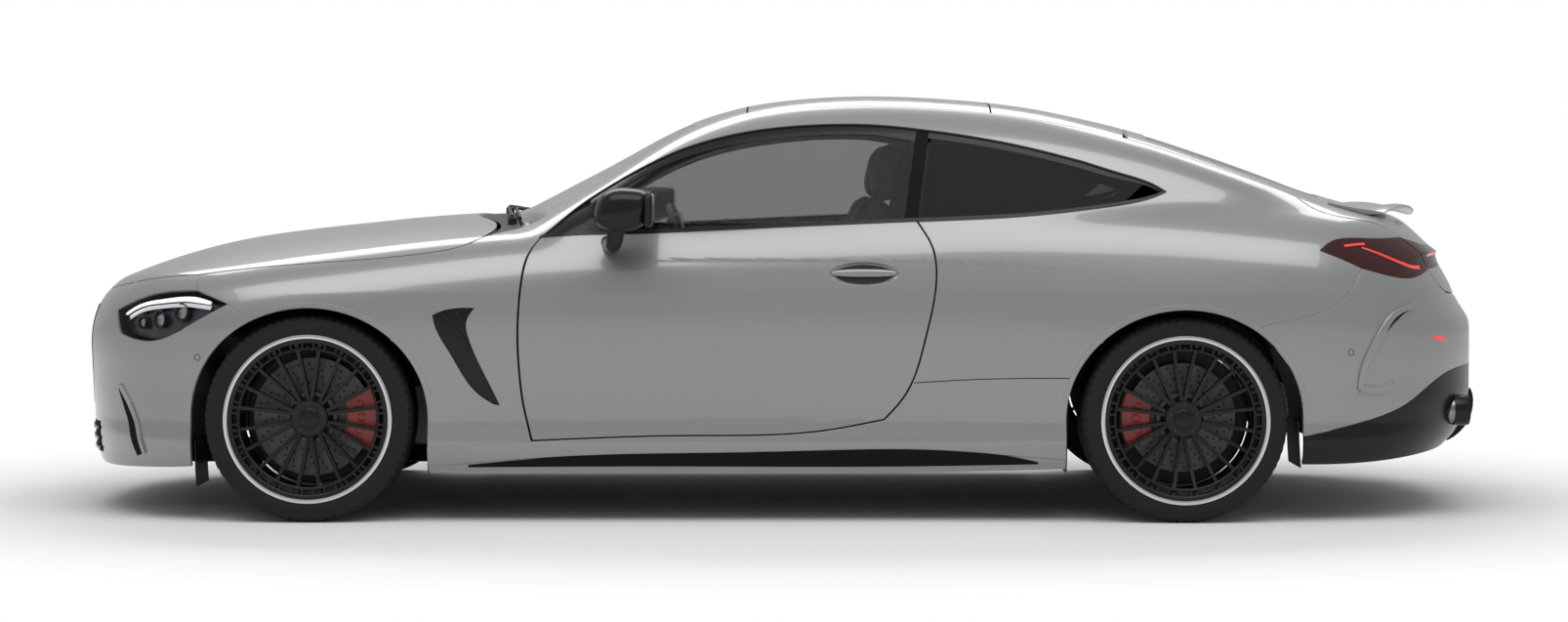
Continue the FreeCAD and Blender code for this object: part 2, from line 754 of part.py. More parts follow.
def door_knuckles():
    """The door's half of its hinges, bored for the pins."""
    parts = []
    radius = size.pin_radius + size.bore_clearance
    for z in HINGE_HEIGHTS:
        inner = side_point(-800, z) - normal(side_point(-800, z)) * (size.door_skin - 2)
        foot = Vector(pivot_x, pivot_y, z - HINGE_HALF)
        barrel = Part.makeCylinder(radius + KNUCKLE_WALL, 2 * HINGE_HALF, foot)
        web = box(pivot_x - 5, pivot_x + 5, inner.y, pivot_y, z - HINGE_HALF, z + HINGE_HALF)
        bore = Part.makeCylinder(radius, 2 * HINGE_HALF, foot)
        parts.append(barrel.fuse(web).cut(bore))
    return parts


def hinge_pins():
    """The body's half: forks that stand off the hinge post and carry the pins."""
    parts = []
    for z in HINGE_HEIGHTS:
        low, high = z - HINGE_HALF - 1, z + HINGE_HALF + 1
        pin = Part.makeCylinder(size.pin_radius, high - low + 2 * HINGE_FORK,
                                Vector(pivot_x, pivot_y, low - HINGE_FORK))
        for bottom in (low - HINGE_FORK, high):
            pin = pin.fuse(box(pivot_x - size.pin_radius, pivot_x + size.pin_radius, pivot_y,
                               post_y + 5, bottom, bottom + HINGE_FORK))
        parts.append(pin)
    return parts


POST_INSET = 85.0
post_y = pivot_y + POST_INSET
POST_WIDTH = 60.0


def door_panel():
    shape = doors()
    for knuckle in door_knuckles():
        shape = shape.fuse(knuckle)
    return shape


def glass(lines, gaps, column_breaks=()):
    low, rear, top, front = loop_inset(lines, gaps)
    grid = coons(low, rear, top[::-1], front[::-1])
    return thick(cells(grid, column_breaks), size.glass_recess, size.glass_recess + size.glass_wall)


def door_glass():
    low = door_belt[1:]
    front = run([low[0], window_a[2]], 4)
    top = run([window_a[2]] + side_line((-500, 1153), (-340, 1229), (-170, 1277), (0, 1302),
              (160, 1311), (320, 1308)) + [pillar_top], len(low))
    return glass([low, pillar_line, top[::-1], front[::-1]],
                 [size.glass_gap, size.pillar_gap, size.shut_gap, 0])


def quarter_glass():
    low = window_low[:-1]
    top = join(window_b[PILLAR_INDEX:], window_c[:-1])
    rear = run([low[-1], top[-1]], 4)
    return pair(glass([low, rear, top[::-1], pillar_line[::-1]],
                      [size.glass_gap, 0, size.glass_gap, size.pillar_gap], column_breaks=(2,)))


def across(points, count):
    """A symmetrical line from left to right through points of the left side."""
    return run(points + mirrored(points[:-1])[::-1], count)


screen_top = across([roof_corner] + plan_line((-318, -250), (-323, 0)), 8)
screen_low = across([screen_corner] + plan_line((-925, -350), (-938, 0)), 8)
screen_side = run([screen_corner] + plan_line((-600, -578)) + [roof_corner], 5)
roof_side = run([roof_corner] + plan_line((0, -514), (400, -532), (800, -552)) + [gate_corner], 7)
roof_middle = plan_point(1180, 0)
roof_rear = across([gate_corner] + plan_line((1172, -300)) + [roof_middle], 8)
cowl_side = run([cowl_corner, screen_corner], 2)
bonnet_rear = across([cowl_corner] + plan_line((-962, -650), (-960, -560), (-1035, -300),
                     (-1065, 0)), 10)
bonnet_front = across([bonnet_nose] + plan_line((-2290, -480), (-2352, -250), (-2372, 0)), 13)
bonnet_lead = across([bonnet_nose] + plan_line((-2290, -480), (-2352, -250), (-2372, 0)), 10)
bonnet_strip = run([bonnet_nose, side_point(-2064, 798), bonnet_split], 6)


def top_panel(left, back, front, gaps, wall, recess=0):
    """A panel across the car: its left line runs backwards, its ends from left to right."""
    lines = [left, back, mirrored(left)[::-1], front[::-1]]
    one, two, three, four = loop_inset(lines, gaps)
    return thick([coons(one, two, three[::-1], four[::-1])], recess, recess + wall)


def windscreen():
    return top_panel(screen_side, screen_top, screen_low, [gap] * 4, size.glass_wall,
                     size.glass_recess)


GATE_HINGE_Y = 120.0
BONNET_HINGE_Y = 605.0
gate_axis = Vector(roof_middle.x + size.barrel_radius + 1.5, GATE_HINGE_Y, roof_middle.z - 5)
bonnet_hinge_seat = plan_point(-961, -BONNET_HINGE_Y)
bonnet_axis = Vector(bonnet_hinge_seat.x - size.barrel_radius - 1.5, -bonnet_hinge_seat.y,
                     bonnet_hinge_seat.z - 5)


def hinged(shape, axis, web_x, part):
    """Adds the barrels (part 0) or the pins (part 1) of a pair of hinges to a panel."""
    for side in (-1, 1):
        shape = shape.fuse(barrel_hinge(axis, side, web_x)[part])
    return shape


gate_web_x = gate_axis.x + size.gate_front_gap - size.barrel_radius + 3
bonnet_web_x = bonnet_axis.x - size.bonnet_rear_gap + size.barrel_radius - 3


def roof():
    panel = top_panel(roof_side, roof_rear, screen_top, [gap] * 4, size.roof_wall)
    return hinged(panel, gate_axis, gate_web_x, 1)


def cowl():
    front = bonnet_rear
    back = across([screen_corner] + plan_line((-925, -350), (-938, 0)), len(front))
    lines = [cowl_side, back, mirrored(cowl_side)[::-1], front[::-1]]
    one, two, three, four = loop_inset(lines, [gap, size.glass_gap, gap, 0])
    panel = thick([coons(one, two, three[::-1], four[::-1])], 5, 12)
    return hinged(panel, bonnet_axis, bonnet_web_x, 1)


def bonnet():
    left = join(bonnet_strip, bonnet_side)
    lines = [left, bonnet_rear, mirrored(left)[::-1], bonnet_lead[::-1]]
    gaps = [size.shut_gap, size.bonnet_rear_gap, size.shut_gap, size.shut_gap]
    one, two, three, four = loop_inset(lines, gaps)
    panel = thick([coons(one, two, three[::-1], four[::-1])], 0, size.bonnet_wall)
    return hinged(panel, bonnet_axis, bonnet_web_x, 0)


def rear_point(y, z):
    start = real(TAIL_CENTRE_X, y, z)
    return cast(start, Vector(1, 0, 0), car_length)


def front_point(y, z):
    start = real(NOSE_CENTRE_X, y, z)
    return cast(start, Vector(-1, 0, 0), car_length)


tail_corner = side_point(2008, 968)
tail_edge = across([tail_corner, rear_point(-520, 956), rear_point(-250, 952), rear_point(0, 952)], 10)
gate_lamp_upper = across([gate_lamp_top, rear_point(-560, 908), rear_point(-300, 903),
                          rear_point(0, 900)], 10)
gate_lamp_lower = across([gate_lamp_low, rear_point(-560, 824), rear_point(-300, 832),
                          rear_point(0, 835)], 10)
gate_bottom = across([gate_low, rear_point(-420, 730), rear_point(0, 724)], 10)
window_front_corner = plan_point(1235, -490)
window_rear_corner = plan_point(1838, -440)
window_front = across([window_front_corner] + plan_line((1250, -250), (1255, 0)), 8)
window_side = run([window_front_corner] + plan_line((1600, -505)) + [window_rear_corner], 5)
window_rear = across([window_rear_corner] + plan_line((1866, -250), (1874, 0)), 8)
GATE_LAMP_BREAKS = (3, 6)


def gate_outline():
    """The left edge of the tailgate from the roof to the bumper, inset by the shut gap."""
    side = run([gate_corner] + plan_line((1450, -590)) + [gate_side_end], 5)
    deck = run([gate_side_end] + side_line((1775, 1028), (1853, 1001), (1950, 985)) + [tail_corner], 5)
    corner = run([tail_corner, gate_lamp_top], 2)
    lamp = run([gate_lamp_top, side_point(2125, 888), gate_lamp_low], 3)
    low = run([gate_lamp_low, side_point(2204, 776), gate_low], 3)
    left = [side, deck, corner, lamp, low]
    lines = (left + [gate_bottom] + [mirrored(line)[::-1] for line in reversed(left)]
             + [roof_rear[::-1]])
    gaps = [size.shut_gap] * (len(lines) - 1) + [size.gate_front_gap]
    return loop_inset(lines, gaps)


def tailgate():
    """A frame round the rear window that runs on over the deck and down the tail."""
    moved = gate_outline()
    side, deck, corner, lamp, low, bottom = moved[:6]
    front = moved[-1][::-1]
    bridge = run([side[0], window_front_corner], 2)
    rear_bridge = run([side[-1], window_rear_corner], 2)
    strip = coons(front, mirrored(bridge), window_front, bridge)
    left = coons(side, rear_bridge, window_side, bridge)
    deck_front = join(rear_bridge, window_rear, mirrored(rear_bridge)[::-1])
    edge = refit(tail_edge, deck[-1])
    upper = refit(gate_lamp_upper, corner[-1])
    lower = refit(gate_lamp_lower, lamp[-1])
    deck_grid = coons(deck_front, mirrored(deck), edge, deck)
    above = coons(edge, mirrored(corner), upper, corner)
    band = coons(upper, mirrored(lamp), lower, lamp)
    below = coons(lower, mirrored(low), bottom, low)
    breaks = (1,) + GATE_LAMP_BREAKS + (8,)
    lamps = ((0, 0), (1, 0), (3, 0), (4, 0))
    grids = ([strip, left, mirrored_grid(left)] + cells(deck_grid, column_breaks=breaks)
             + cells(above, column_breaks=breaks)
             + cells(band, column_breaks=breaks, left_out=lamps)
             + cells(below, column_breaks=breaks))
    panel = hinged(thick(grids, 0, size.gate_wall), gate_axis, gate_web_x, 0)
    return Part.makeCompound([panel, spoiler()])


def refit(line, corner):
    """Moves the ends of a symmetrical line to a corner and its mirror image."""
    return [corner] + list(line[1:-1]) + mirrored([corner])


def gate_lamps():
    moved = gate_outline()
    lamp = moved[3]
    upper = refit(gate_lamp_upper, moved[2][-1])[:GATE_LAMP_BREAKS[0] + 1]
    lower = refit(gate_lamp_lower, lamp[-1])[:GATE_LAMP_BREAKS[0] + 1]
    inner = run([upper[-1], lower[-1]], len(lamp))
    lines = [upper[::-1], lamp, lower, inner[::-1]]
    one, two, three, four = loop_inset(lines, [size.lamp_gap, 0, size.joint_gap, size.joint_gap])
    grid = coons(one[::-1], four[::-1], three, two)
    return pair(thick(cells(grid, column_breaks=(1,)), 0, size.lamp_depth))


def rear_window():
    return top_panel(window_side, window_rear, window_front, [size.joint_gap] * 4, size.glass_wall,
                     size.glass_recess)


LIP_SEAT = 0.6


def spoiler():
    """A lip that rises off the deck towards the tail."""
    spans = [-560 + 1120 * i / 16 for i in range(17)]
    upper, lower = [], []
    for y in spans:
        taper = 1 - (abs(y) / 600) ** 4
        sweep = 150 * (y / 560) ** 2
        low, high = [], []
        for t in (0.0, 0.25, 0.5, 0.75, 1.0):
            x = 2035 - sweep + (175 + 10 * taper) * t
            base = plan_point(x, y)
            low.append(base + Vector(0, 0, LIP_SEAT))
            high.append(base + Vector(8 * t, 0, 4 + (2 + 58 * taper * t ** 1.5)))
        lower.append(low)
        upper.append(high)
    return between(lower, upper)


def between(first, second):
    """A closed solid between two grids of the same size."""
    faces = [spline_face(first), spline_face(second)]
    for pick in (lambda g: g[0], lambda g: g[-1],
                 lambda g: [c[0] for c in g], lambda g: [c[-1] for c in g]):
        faces.append(spline_face([pick(first), pick(second)]))
    return close_solid(faces)


tail_lamp_low = run([lamp_rear_low] + side_line((1961, 817), (2067, 797), (2120, 803))
                    + [gate_lamp_low], 5)
gate_low_side = run([gate_lamp_low, side_point(2204, 776), gate_low], 3)
diffuser_seam_side = [rear_arch_rear_foot] + side_line((1854, 316), (1987, 351), (2058, 381),
                                                       (2133, 429), (2194, 466))


def tail_lamps():
    upper = run([lamp_rear_tip] + side_line((1809, 921), (1950, 929)) + [gate_lamp_top], 5)
    inner = run([gate_lamp_top, side_point(2125, 888), gate_lamp_low], 3)
    front = run([lamp_rear_tip, lamp_rear_low], 3)
    low = run([lamp_rear_low] + side_line((1961, 817), (2067, 797), (2120, 803)) + [gate_lamp_low], 5)
    lines = [low, inner[::-1], upper[::-1], front]
    one, two, three, four = loop_inset(lines, [size.glass_gap, 0, gap, gap])
    return pair(thick([coons(one, two, three[::-1], four[::-1])], 0, size.lamp_depth))


arch_rear_side = leg(rear_arch_rear_foot, rear_axle_x, rr, REAR_JOINT, 6)
diffuser_seam = across(diffuser_seam_side + [rear_point(-500, 492), rear_point(0, 492)], 38)
REAR_BREAKS = (10, 14, 23, 27)


def rear_bumper():
    """The tail under the lamps: a part on each side of the lid, and the rest from arch to arch."""
    half = join(bumper_seam_side, tail_lamp_low, gate_low_side)
    top = join(half, gate_bottom, mirrored(half)[::-1])
    lines = [diffuser_seam, mirrored(arch_rear_side), top[::-1], arch_rear_side[::-1]]
    bottom, right, back, left = loop_inset(lines, [gap, 0, gap, 0])
    top, side = back[::-1], left[::-1]
    lamp_end, lid_corner = len(join(bumper_seam_side, tail_lamp_low)) - 1, len(half) - 1
    across_side = run([side[3]] + side_line((1850, 610), (2060, 690)) + [top[lid_corner]], lamp_end + 1)
    middle = join(across_side, top[lid_corner:-lid_corner], mirrored(across_side)[::-1])
    lower = coons(bottom, right[:4], middle, side[:4])
    upper = coons(across_side, top[lamp_end:lid_corner + 1][::-1], top[:lamp_end + 1], side[3:])
    grids = (cells(lower, column_breaks=REAR_BREAKS) + cells(upper, column_breaks=REAR_BREAKS[:1])
             + cells(mirrored_grid(upper), column_breaks=(lamp_end - REAR_BREAKS[0],)))
    return thick(grids, 0, size.bumper_wall)


def diffuser():
    foot = below_arch(rear_axle_x, rr, 1, sill_z(188))
    bottom = across([foot] + side_line((1950, 192), (2120, 205)) + [rear_point(-400, 215),
                    rear_point(0, 218)], len(diffuser_seam))
    side = run([foot, rear_arch_rear_foot], 3)
    lines = [bottom, mirrored(side), diffuser_seam[::-1], side[::-1]]
    one, two, three, four = loop_inset(lines, [0, 0, gap, 0])
    grid = coons(one, two, three[::-1], four[::-1])
    shape = thick(cells(grid, column_breaks=REAR_BREAKS), 0, size.bumper_wall)
    for y in TAILPIPES:
        for sign in (-1, 1):
            shape = shape.cut(rod(Vector(tailpipe_start, sign * y, tailpipe_z),
                                  Vector(car_length, sign * y, tailpipe_z), size.exhaust_radius + 2))
    return shape


TAILPIPES = (480.0, 592.0)
tailpipe_z = real(0, 0, 345).z
tailpipe_start = real(2050, 0, 0).x
tailpipe_end = real(2310, 0, 0).x
PIPE_WALL = 3.0


def exhaust():
    box_front = real(1760, 0, 0).x
    shape = box(box_front, tailpipe_start, -640, 640, tailpipe_z - 75, tailpipe_z + 60)
    for y in TAILPIPES:
        for sign in (-1, 1):
            a = Vector(tailpipe_start - 2, sign * y, tailpipe_z)
            b = Vector(tailpipe_end, sign * y, tailpipe_z)
            shape = shape.fuse(rod(a, b, size.exhaust_radius))
            shape = shape.cut(rod(a + Vector(20, 0, 0), b, size.exhaust_radius - PIPE_WALL))
            shape = shape.fuse(box(box_front + 40, box_front + 60, sign * y - 10, sign * y + 10,
                                   tailpipe_z + 50, boot_floor_z - gap))
    return shape


lamp_low_line = run([lamp_tip] + side_line((-1938, 656), (-2047, 601), (-2110, 590)) + [lamp_low], 6)
lamp_nose_line = run([lamp_low, lamp_nose], 3)
lamp_upper_line = run([lamp_nose] + side_line((-2172, 716), (-2094, 744), (-2011, 757)) + [lamp_top], 6)
nose_strip_end = run([lamp_nose, bonnet_nose], 3)
GRILLE_COLUMNS = (13, 21)
GRILLE_ROWS = (2, 6)


def bumper_grid():
    """The front bumper under the lamps, from arch to arch."""
    half = join(run([front_arch_joint, lamp_tip], 3), lamp_low_line, lamp_nose_line, nose_strip_end)
    top = join(half, bonnet_front, mirrored(half)[::-1])
    arch_side = leg(front_arch_front_foot, front_axle_x, fr, ARCH_FRONT_JOINT, 8)
    bottom = across([front_arch_front_foot] + side_line((-2120, 168)) + [front_point(-600, 160),
                    front_point(-300, 158), front_point(0, 158)], len(top))
    lines = [bottom[::-1], arch_side, top, mirrored(arch_side)[::-1]]
    one, two, three, four = loop_inset(lines, [0, 0, gap, 0])
    return coons(one[::-1], four[::-1], three, two)


def front_bumper():
    grid = bumper_grid()
    marks = (2, 7, 9, 11) + GRILLE_COLUMNS + (23, 25, 27, 32)
    hole = marks.index(GRILLE_COLUMNS[0]) + 1
    pieces = cells(grid, column_breaks=marks, row_breaks=GRILLE_ROWS, left_out=((hole, 1),))
    shape = thick(pieces, 0, size.bumper_wall)
    slot = side_prism(side_line((-2222, 396), (-2112, 192), (-2084, 196), (-2192, 398)))
    shape = shape.cut(slot).cut(mirror_solid(slot))
    return Part.makeCompound([shape, lamp_strip(), mirror_solid(lamp_strip())])


def lamp_strip():
    """The bumper's narrow strip over the left headlamp."""
    lines = [lamp_upper_line, run([lamp_top, bonnet_split], 3), bonnet_strip[::-1], nose_strip_end[::-1]]
    one, two, three, four = loop_inset(lines, [gap, gap, 0, gap])
    return thick([coons(one, two, three[::-1], four[::-1])], 0, size.bumper_wall)


SLATS = 19
SLAT_WIDTH = 0.16
SLAT_RECESS = 2.0


def grille():
    grid = bumper_grid()
    low, high = GRILLE_ROWS
    part = [column[low:high + 1] for column in grid[GRILLE_COLUMNS[0]:GRILLE_COLUMNS[1] + 1]]
    plate_front = size.bumper_wall + gap
    solids = [thick([part], plate_front, plate_front + 6)]
    span = len(part) - 1
    for i in range(SLATS):
        place = (i + 0.5) / SLATS * span
        edges = [slat_edge(part, place + move * SLAT_WIDTH) for move in (-0.5, 0.5)]
        solids.append(thick([edges], SLAT_RECESS, plate_front - size.joint_gap))
    return Part.makeCompound(solids)


def slat_edge(columns, place):
    """Points down the grille between two of its columns, short of the opening's edges."""
    index = min(int(place), len(columns) - 2)
    share = place - index
    line = [a * (1 - share) + b * share for a, b in zip(columns[index], columns[index + 1])]
    ends = [line[0] * 0.95 + line[1] * 0.05, line[-1] * 0.95 + line[-2] * 0.05]
    middle = (line[1:-1][len(line) // 2 - 1],)
    return [seat(point) for point in (ends[0], middle[0], ends[1])]


def headlamps():
    end = run([lamp_tip, lamp_top], 3)
    lines = [lamp_low_line[::-1], end, lamp_upper_line[::-1], lamp_nose_line[::-1]]
    one, two, three, four = loop_inset(lines, [gap] * 4)
    return pair(thick([coons(one, two, three[::-1], four[::-1])], 0, size.lamp_depth))


def side_skirts():
    top = join(sill_low, quarter_low)
    a = below_arch(front_axle_x, fr, 1, sill_z(158))
    b = below_arch(rear_axle_x, rr, -1, sill_z(172))
    low = run([a] + side_line((-400, 156), (400, 158)) + [b], len(top))
    lines = [low, run([b, top[-1]], 3), top[::-1], run([top[0], a], 3)]
    one, two, three, four = loop_inset(lines, [0, 0, gap, 0])
    grid = coons(one, two, three[::-1], four[::-1])
    return pair(thick(cells(grid, column_breaks=(len(sill_low) - 1,)), 0, size.side_wall))


def arch_ring(axle_x, radius, front_z, rear_z, grow, count):
    """Places (x, z) round a wheel space from the front foot over to the rear foot."""
    a, b = radius + size.arch_reach + grow, radius + size.arch_rise + grow
    front_drop, rear_drop = radius - front_z, radius - rear_z
    bend = math.pi * (a + b) / 2
    total = front_drop + bend + rear_drop
    places = []
    for i in range(count):
        s = total * i / (count - 1)
        if s < front_drop:
            places.append((axle_x - a, front_z + s))
        elif s < front_drop + bend:
            turn = math.pi * (s - front_drop) / bend
            places.append((axle_x - a * math.cos(turn), radius + b * math.sin(turn)))
        else:
            places.append((axle_x + a, radius - (s - front_drop - bend)))
    return places


LINER_GAP = 2.1


def liner(axle_x, radius, front_z, rear_z, wall, inner_y, count=25):
    inner_places = arch_ring(axle_x, radius, front_z, rear_z, 0, count)
    outer_places = arch_ring(axle_x, radius, front_z, rear_z, size.liner_wall, count)

    def edge(x, z):
        point = cast(Vector(x, 0, z), Vector(0, -1, 0), 1.2 * half_body)
        return point.y + (wall + LINER_GAP) / max(0.3, abs(normal(point).y))

    grids = []
    for places in (inner_places, outer_places):
        grids.append([[Vector(x, max(edge(x, z), -half_body), z), Vector(x, inner_y, z)]
                      for x, z in places])
    return between(grids[0], grids[1])


def wheel_liners():
    front = liner(front_axle_x, fr, sill_z(200), sill_z(250), size.wing_wall + 7, -450)
    rear = liner(rear_axle_x, rr, sill_z(215), sill_z(290), size.side_wall, -610)
    return Part.makeCompound([front, mirror_solid(front), rear, mirror_solid(rear)])


# Wheels, brakes and what carries them. A wheel is drawn about the Y axis with its
# outer side towards -Y, as on the left of the car.
def ring(profile):
    """Turns a closed profile of (outward, radius) places about the wheel's axis."""
    points = [Vector(0, -outward, radius) for outward, radius in profile]
    face = Part.Face(Part.makePolygon(points + [points[0]]))
    return face.revolve(Vector(0, 0, 0), Vector(0, 1, 0), 360)


RIM_STEP, FLANGE_WALL = 1.5, 6.0


def tyre(radius, width):
    half = width / 2
    side = [(half - RIM_STEP - FLANGE_WALL - 0.5, size.bead_radius + size.bore_clearance),
            (half, radius - 36), (half - 19, radius)]
    return ring(side + [(-outward, r) for outward, r in reversed(side)])


def rim(width):
    """A barrel with a flange at each side, and spokes in pairs from a closed hub."""
    half = width / 2 - RIM_STEP
    bead, flange = size.bead_radius, size.rim_flange_radius
    drop, wall = bead - 16, size.rim_wall
    barrel = ring([(half, flange), (half - FLANGE_WALL, bead), (half - 50, bead), (half - 68, drop),
                   (62 - half, drop), (37 - half, bead), (FLANGE_WALL - half, bead), (-half, flange),
                   (-half, flange - wall), (FLANGE_WALL - half, bead - wall),
                   (34 - half, bead - wall), (59 - half, drop - wall), (half - 71, drop - wall),
                   (half - 53, bead - wall), (half - FLANGE_WALL, bead - wall),
                   (half, flange - wall)])
    hub = ring([(HUB_BACK, size.hub_radius), (HUB_FACE, size.hub_radius - 14), (HUB_FACE, 0.5),
                (HUB_FACE - 14, 0.5), (HUB_FACE - 14, size.hub_bore_radius),
                (HUB_BACK, size.hub_bore_radius)])
    cap = Part.makeCylinder(2, 14, Vector(0, -HUB_FACE, 0), Vector(0, 1, 0))
    outer = bead - wall + 2
    inner = size.hub_radius - 18
    pitch = 360 / size.spoke_pairs
    spokes = []
    for k in range(int(size.spoke_pairs)):
        for sign in (-1, 1):
            start = math.radians(pitch * k + 90 + sign * pitch / 9)
            end = math.radians(pitch * k + 90 + sign * pitch / 4)
            a = Vector(inner * math.cos(start), 0, inner * math.sin(start))
            b = Vector(outer * math.cos(end), 0, outer * math.sin(end))
            along = (b - a).normalize()
            across_spoke = along.cross(Vector(0, 1, 0))
            reach = (b - a).Length
            places = [(0, HUB_FACE - 8), (0, HUB_FACE - 8 - size.spoke_depth),
                      (0.55 * reach, HUB_FACE - 6 - size.spoke_depth),
                      (reach, half - 8 - size.spoke_depth), (reach, half - 12),
                      (0.55 * reach, HUB_FACE + 4)]
            corners = [a + along * s - Vector(0, o, 0) - across_spoke * (size.spoke_width / 2)
                       for s, o in places]
            face = Part.Face(Part.makePolygon(corners + [corners[0]]))
            spokes.append(face.extrude(across_spoke * size.spoke_width))
    return barrel.fuse([hub, cap] + spokes)


HUB_BACK, HUB_FACE = 30.0, 78.0
DISC_FACE = 2.0
DISC_BELL = 84.0


def disc(radius):
    """A brake disc with its bell, seated on the back of the rim's hub."""
    bore = size.hub_bore_radius
    face, back = DISC_FACE, DISC_FACE - size.disc_wall
    return ring([(back, radius), (face, radius), (face, DISC_BELL), (HUB_BACK, DISC_BELL),
                 (HUB_BACK, bore), (HUB_BACK - 8, bore), (HUB_BACK - 8, DISC_BELL - 8),
                 (back, DISC_BELL - 8)])


CALIPER_SWEEP = 52.0
CALIPER_WALL = 26.0


def caliper(radius, side):
    """Straddles the disc; side is 1 behind the axle and -1 ahead of it."""
    low, high = radius - 78, radius + 25
    out, back = DISC_FACE + CALIPER_WALL, DISC_FACE - size.disc_wall - CALIPER_WALL
    profile = [(back, low), (back, high), (out, high), (out, low), (DISC_FACE + 2, low),
               (DISC_FACE + 2, radius + 3), (DISC_FACE - size.disc_wall - 2, radius + 3),
               (DISC_FACE - size.disc_wall - 2, low)]
    points = [Vector(0, -o, r) for o, r in profile]
    face = Part.Face(Part.makePolygon(points + [points[0]]))
    face.rotate(Vector(0, 0, 0), Vector(0, 1, 0), side * 90 - CALIPER_SWEEP / 2)
    return face.revolve(Vector(0, 0, 0), Vector(0, 1, 0), CALIPER_SWEEP)


UPRIGHT_HALF, UPRIGHT_RISE = 14.0, 145.0
BALL_LENGTH = 22.0
ARM_HALF = 13.0


def upright(disc_radius, side):
    """Carries a wheel: spindle, caliper and a pin at each end of the kingpin's axis."""
    inboard = size.kingpin_offset
    spindle = rod(Vector(0, inboard, 0), Vector(0, -(HUB_FACE - 16), 0),
                  size.hub_bore_radius - size.bore_clearance)
    plate = box(-24, 24, inboard - UPRIGHT_HALF, inboard + UPRIGHT_HALF, -UPRIGHT_RISE, UPRIGHT_RISE)
    pins = rod(Vector(0, inboard, -UPRIGHT_RISE - BALL_LENGTH),
               Vector(0, inboard, UPRIGHT_RISE + BALL_LENGTH), size.ball_joint_radius - 6)
    foot = sorted((0, side * (disc_radius - 60)))
    bracket = box(foot[0], foot[1], -(DISC_FACE - size.disc_wall - 6), inboard + UPRIGHT_HALF, -28, 28)
    return plate.fuse([spindle, pins, bracket, caliper(disc_radius, side)])


def arms(inner_y, offset):
    """The two arms of one wheel: eyes round the upright's pins and bars inboard."""
    parts = []
    radius = size.ball_joint_radius
    for level in (-1, 1):
        z = level * (UPRIGHT_RISE + BALL_LENGTH / 2 + 2)
        half = BALL_LENGTH / 2 - 2
        eye = Part.makeCylinder(radius, 2 * half, Vector(0, offset, z - half))
        bar = box(-ARM_HALF, ARM_HALF, offset, inner_y, z - half, z + half)
        hole = Part.makeCylinder(radius - 6 + size.bore_clearance, 4 * half,
                                 Vector(0, offset, z - 2 * half))
        parts.append(eye.fuse(bar).cut(hole))
    return parts


def placed(shape, axle_x, track, radius):
    """A copy of a shape moved out to a wheel of the left side."""
    return shape.translated(Vector(axle_x, -track / 2, radius))


SUBFRAME_Y = 340.0
BEAM_HALF = 430.0
engine_top = real(0, 0, 770).z
cross_z = real(0, 0, 168).z
firewall_x = real(-990, 0, 0).x
boot_floor_z = real(0, 0, 520).z
floor_top = size.floor_height + size.floor_wall


def front_subframe():
    """Cross member, arms, side rails and the beam behind the bumper."""
    shape = box(front_axle_x - 70, front_axle_x + 70, -SUBFRAME_Y, SUBFRAME_Y, cross_z, cross_z + 40)
    beam_z = real(0, 0, 450).z
    beam_x = front_point(BEAM_HALF, 450).x + size.bumper_wall + size.joint_gap + 2
    parts = [box(beam_x, beam_x + 50, -BEAM_HALF, BEAM_HALF, beam_z - 50, beam_z + 50)]
    arm_pair = [placed(a, front_axle_x, size.front_track, fr)
                for a in arms(size.front_track / 2 - SUBFRAME_Y, size.kingpin_offset)]
    for sign in (-1, 1):
        inner, outer = sorted((sign * SUBFRAME_Y, sign * (SUBFRAME_Y + 40)))
        parts.append(box(front_axle_x - 40, front_axle_x + 40, inner, outer, cross_z, fr + UPRIGHT_RISE + 30))
        parts.append(box(beam_x + 40, firewall_x - size.joint_gap, inner, outer, beam_z - 40, beam_z + 40))
    parts += arm_pair + [mirror_solid(a) for a in arm_pair]
    return shape.fuse(parts)


def engine():
    return box(front_axle_x + 20, firewall_x - 40, -SUBFRAME_Y + 10, SUBFRAME_Y - 10,
               cross_z + 40 + size.bore_clearance, engine_top)


def rear_subframe():
    """Cross member with the differential, drive shafts, arms and the rear uprights."""
    low = rr - UPRIGHT_RISE - 30
    shape = box(rear_axle_x - 140, rear_axle_x + 140, -300, 300, rr - 75, rr + 75)
    parts = [rod(Vector(rear_axle_x, -size.rear_track / 2, rr), Vector(rear_axle_x, size.rear_track / 2, rr), 20)]
    one = upright(size.rear_disc_radius, -1)
    parts_left = [placed(one, rear_axle_x, size.rear_track, rr)]
    parts_left += [placed(box(-ARM_HALF, ARM_HALF, size.kingpin_offset, size.rear_track / 2 - 280,
                              z - 9, z + 9), rear_axle_x, size.rear_track, rr)
                   for z in (-UPRIGHT_RISE + 10, UPRIGHT_RISE - 10)]
    for sign in (-1, 1):
        inner, outer = sorted((sign * 270, sign * 330))
        parts.append(box(rear_axle_x - 60, rear_axle_x + 60, inner, outer, low, boot_floor_z - size.joint_gap))
    parts += parts_left + [mirror_solid(a) for a in parts_left]
    return shape.fuse(parts)


def sill_face():
    """How far out the sill box may reach before it meets the side's inner face."""
    reach = []
    for x in (-1100, -700, -300, 100, 500, 850):
        for z in (162, 175, 188, 215, 245, 262):
            point = side_point(x, z)
            reach.append(-(point - normal(point) * size.side_wall).y)
    return min(reach) - size.joint_gap


TUNNEL_HALF = 118.0
BOOT_HALF = 609.0
SILL_BOX = 75.0


seat_shelf_z = boot_floor_z - size.shelf_step
boot_step_x = real(1185, 0, 0).x


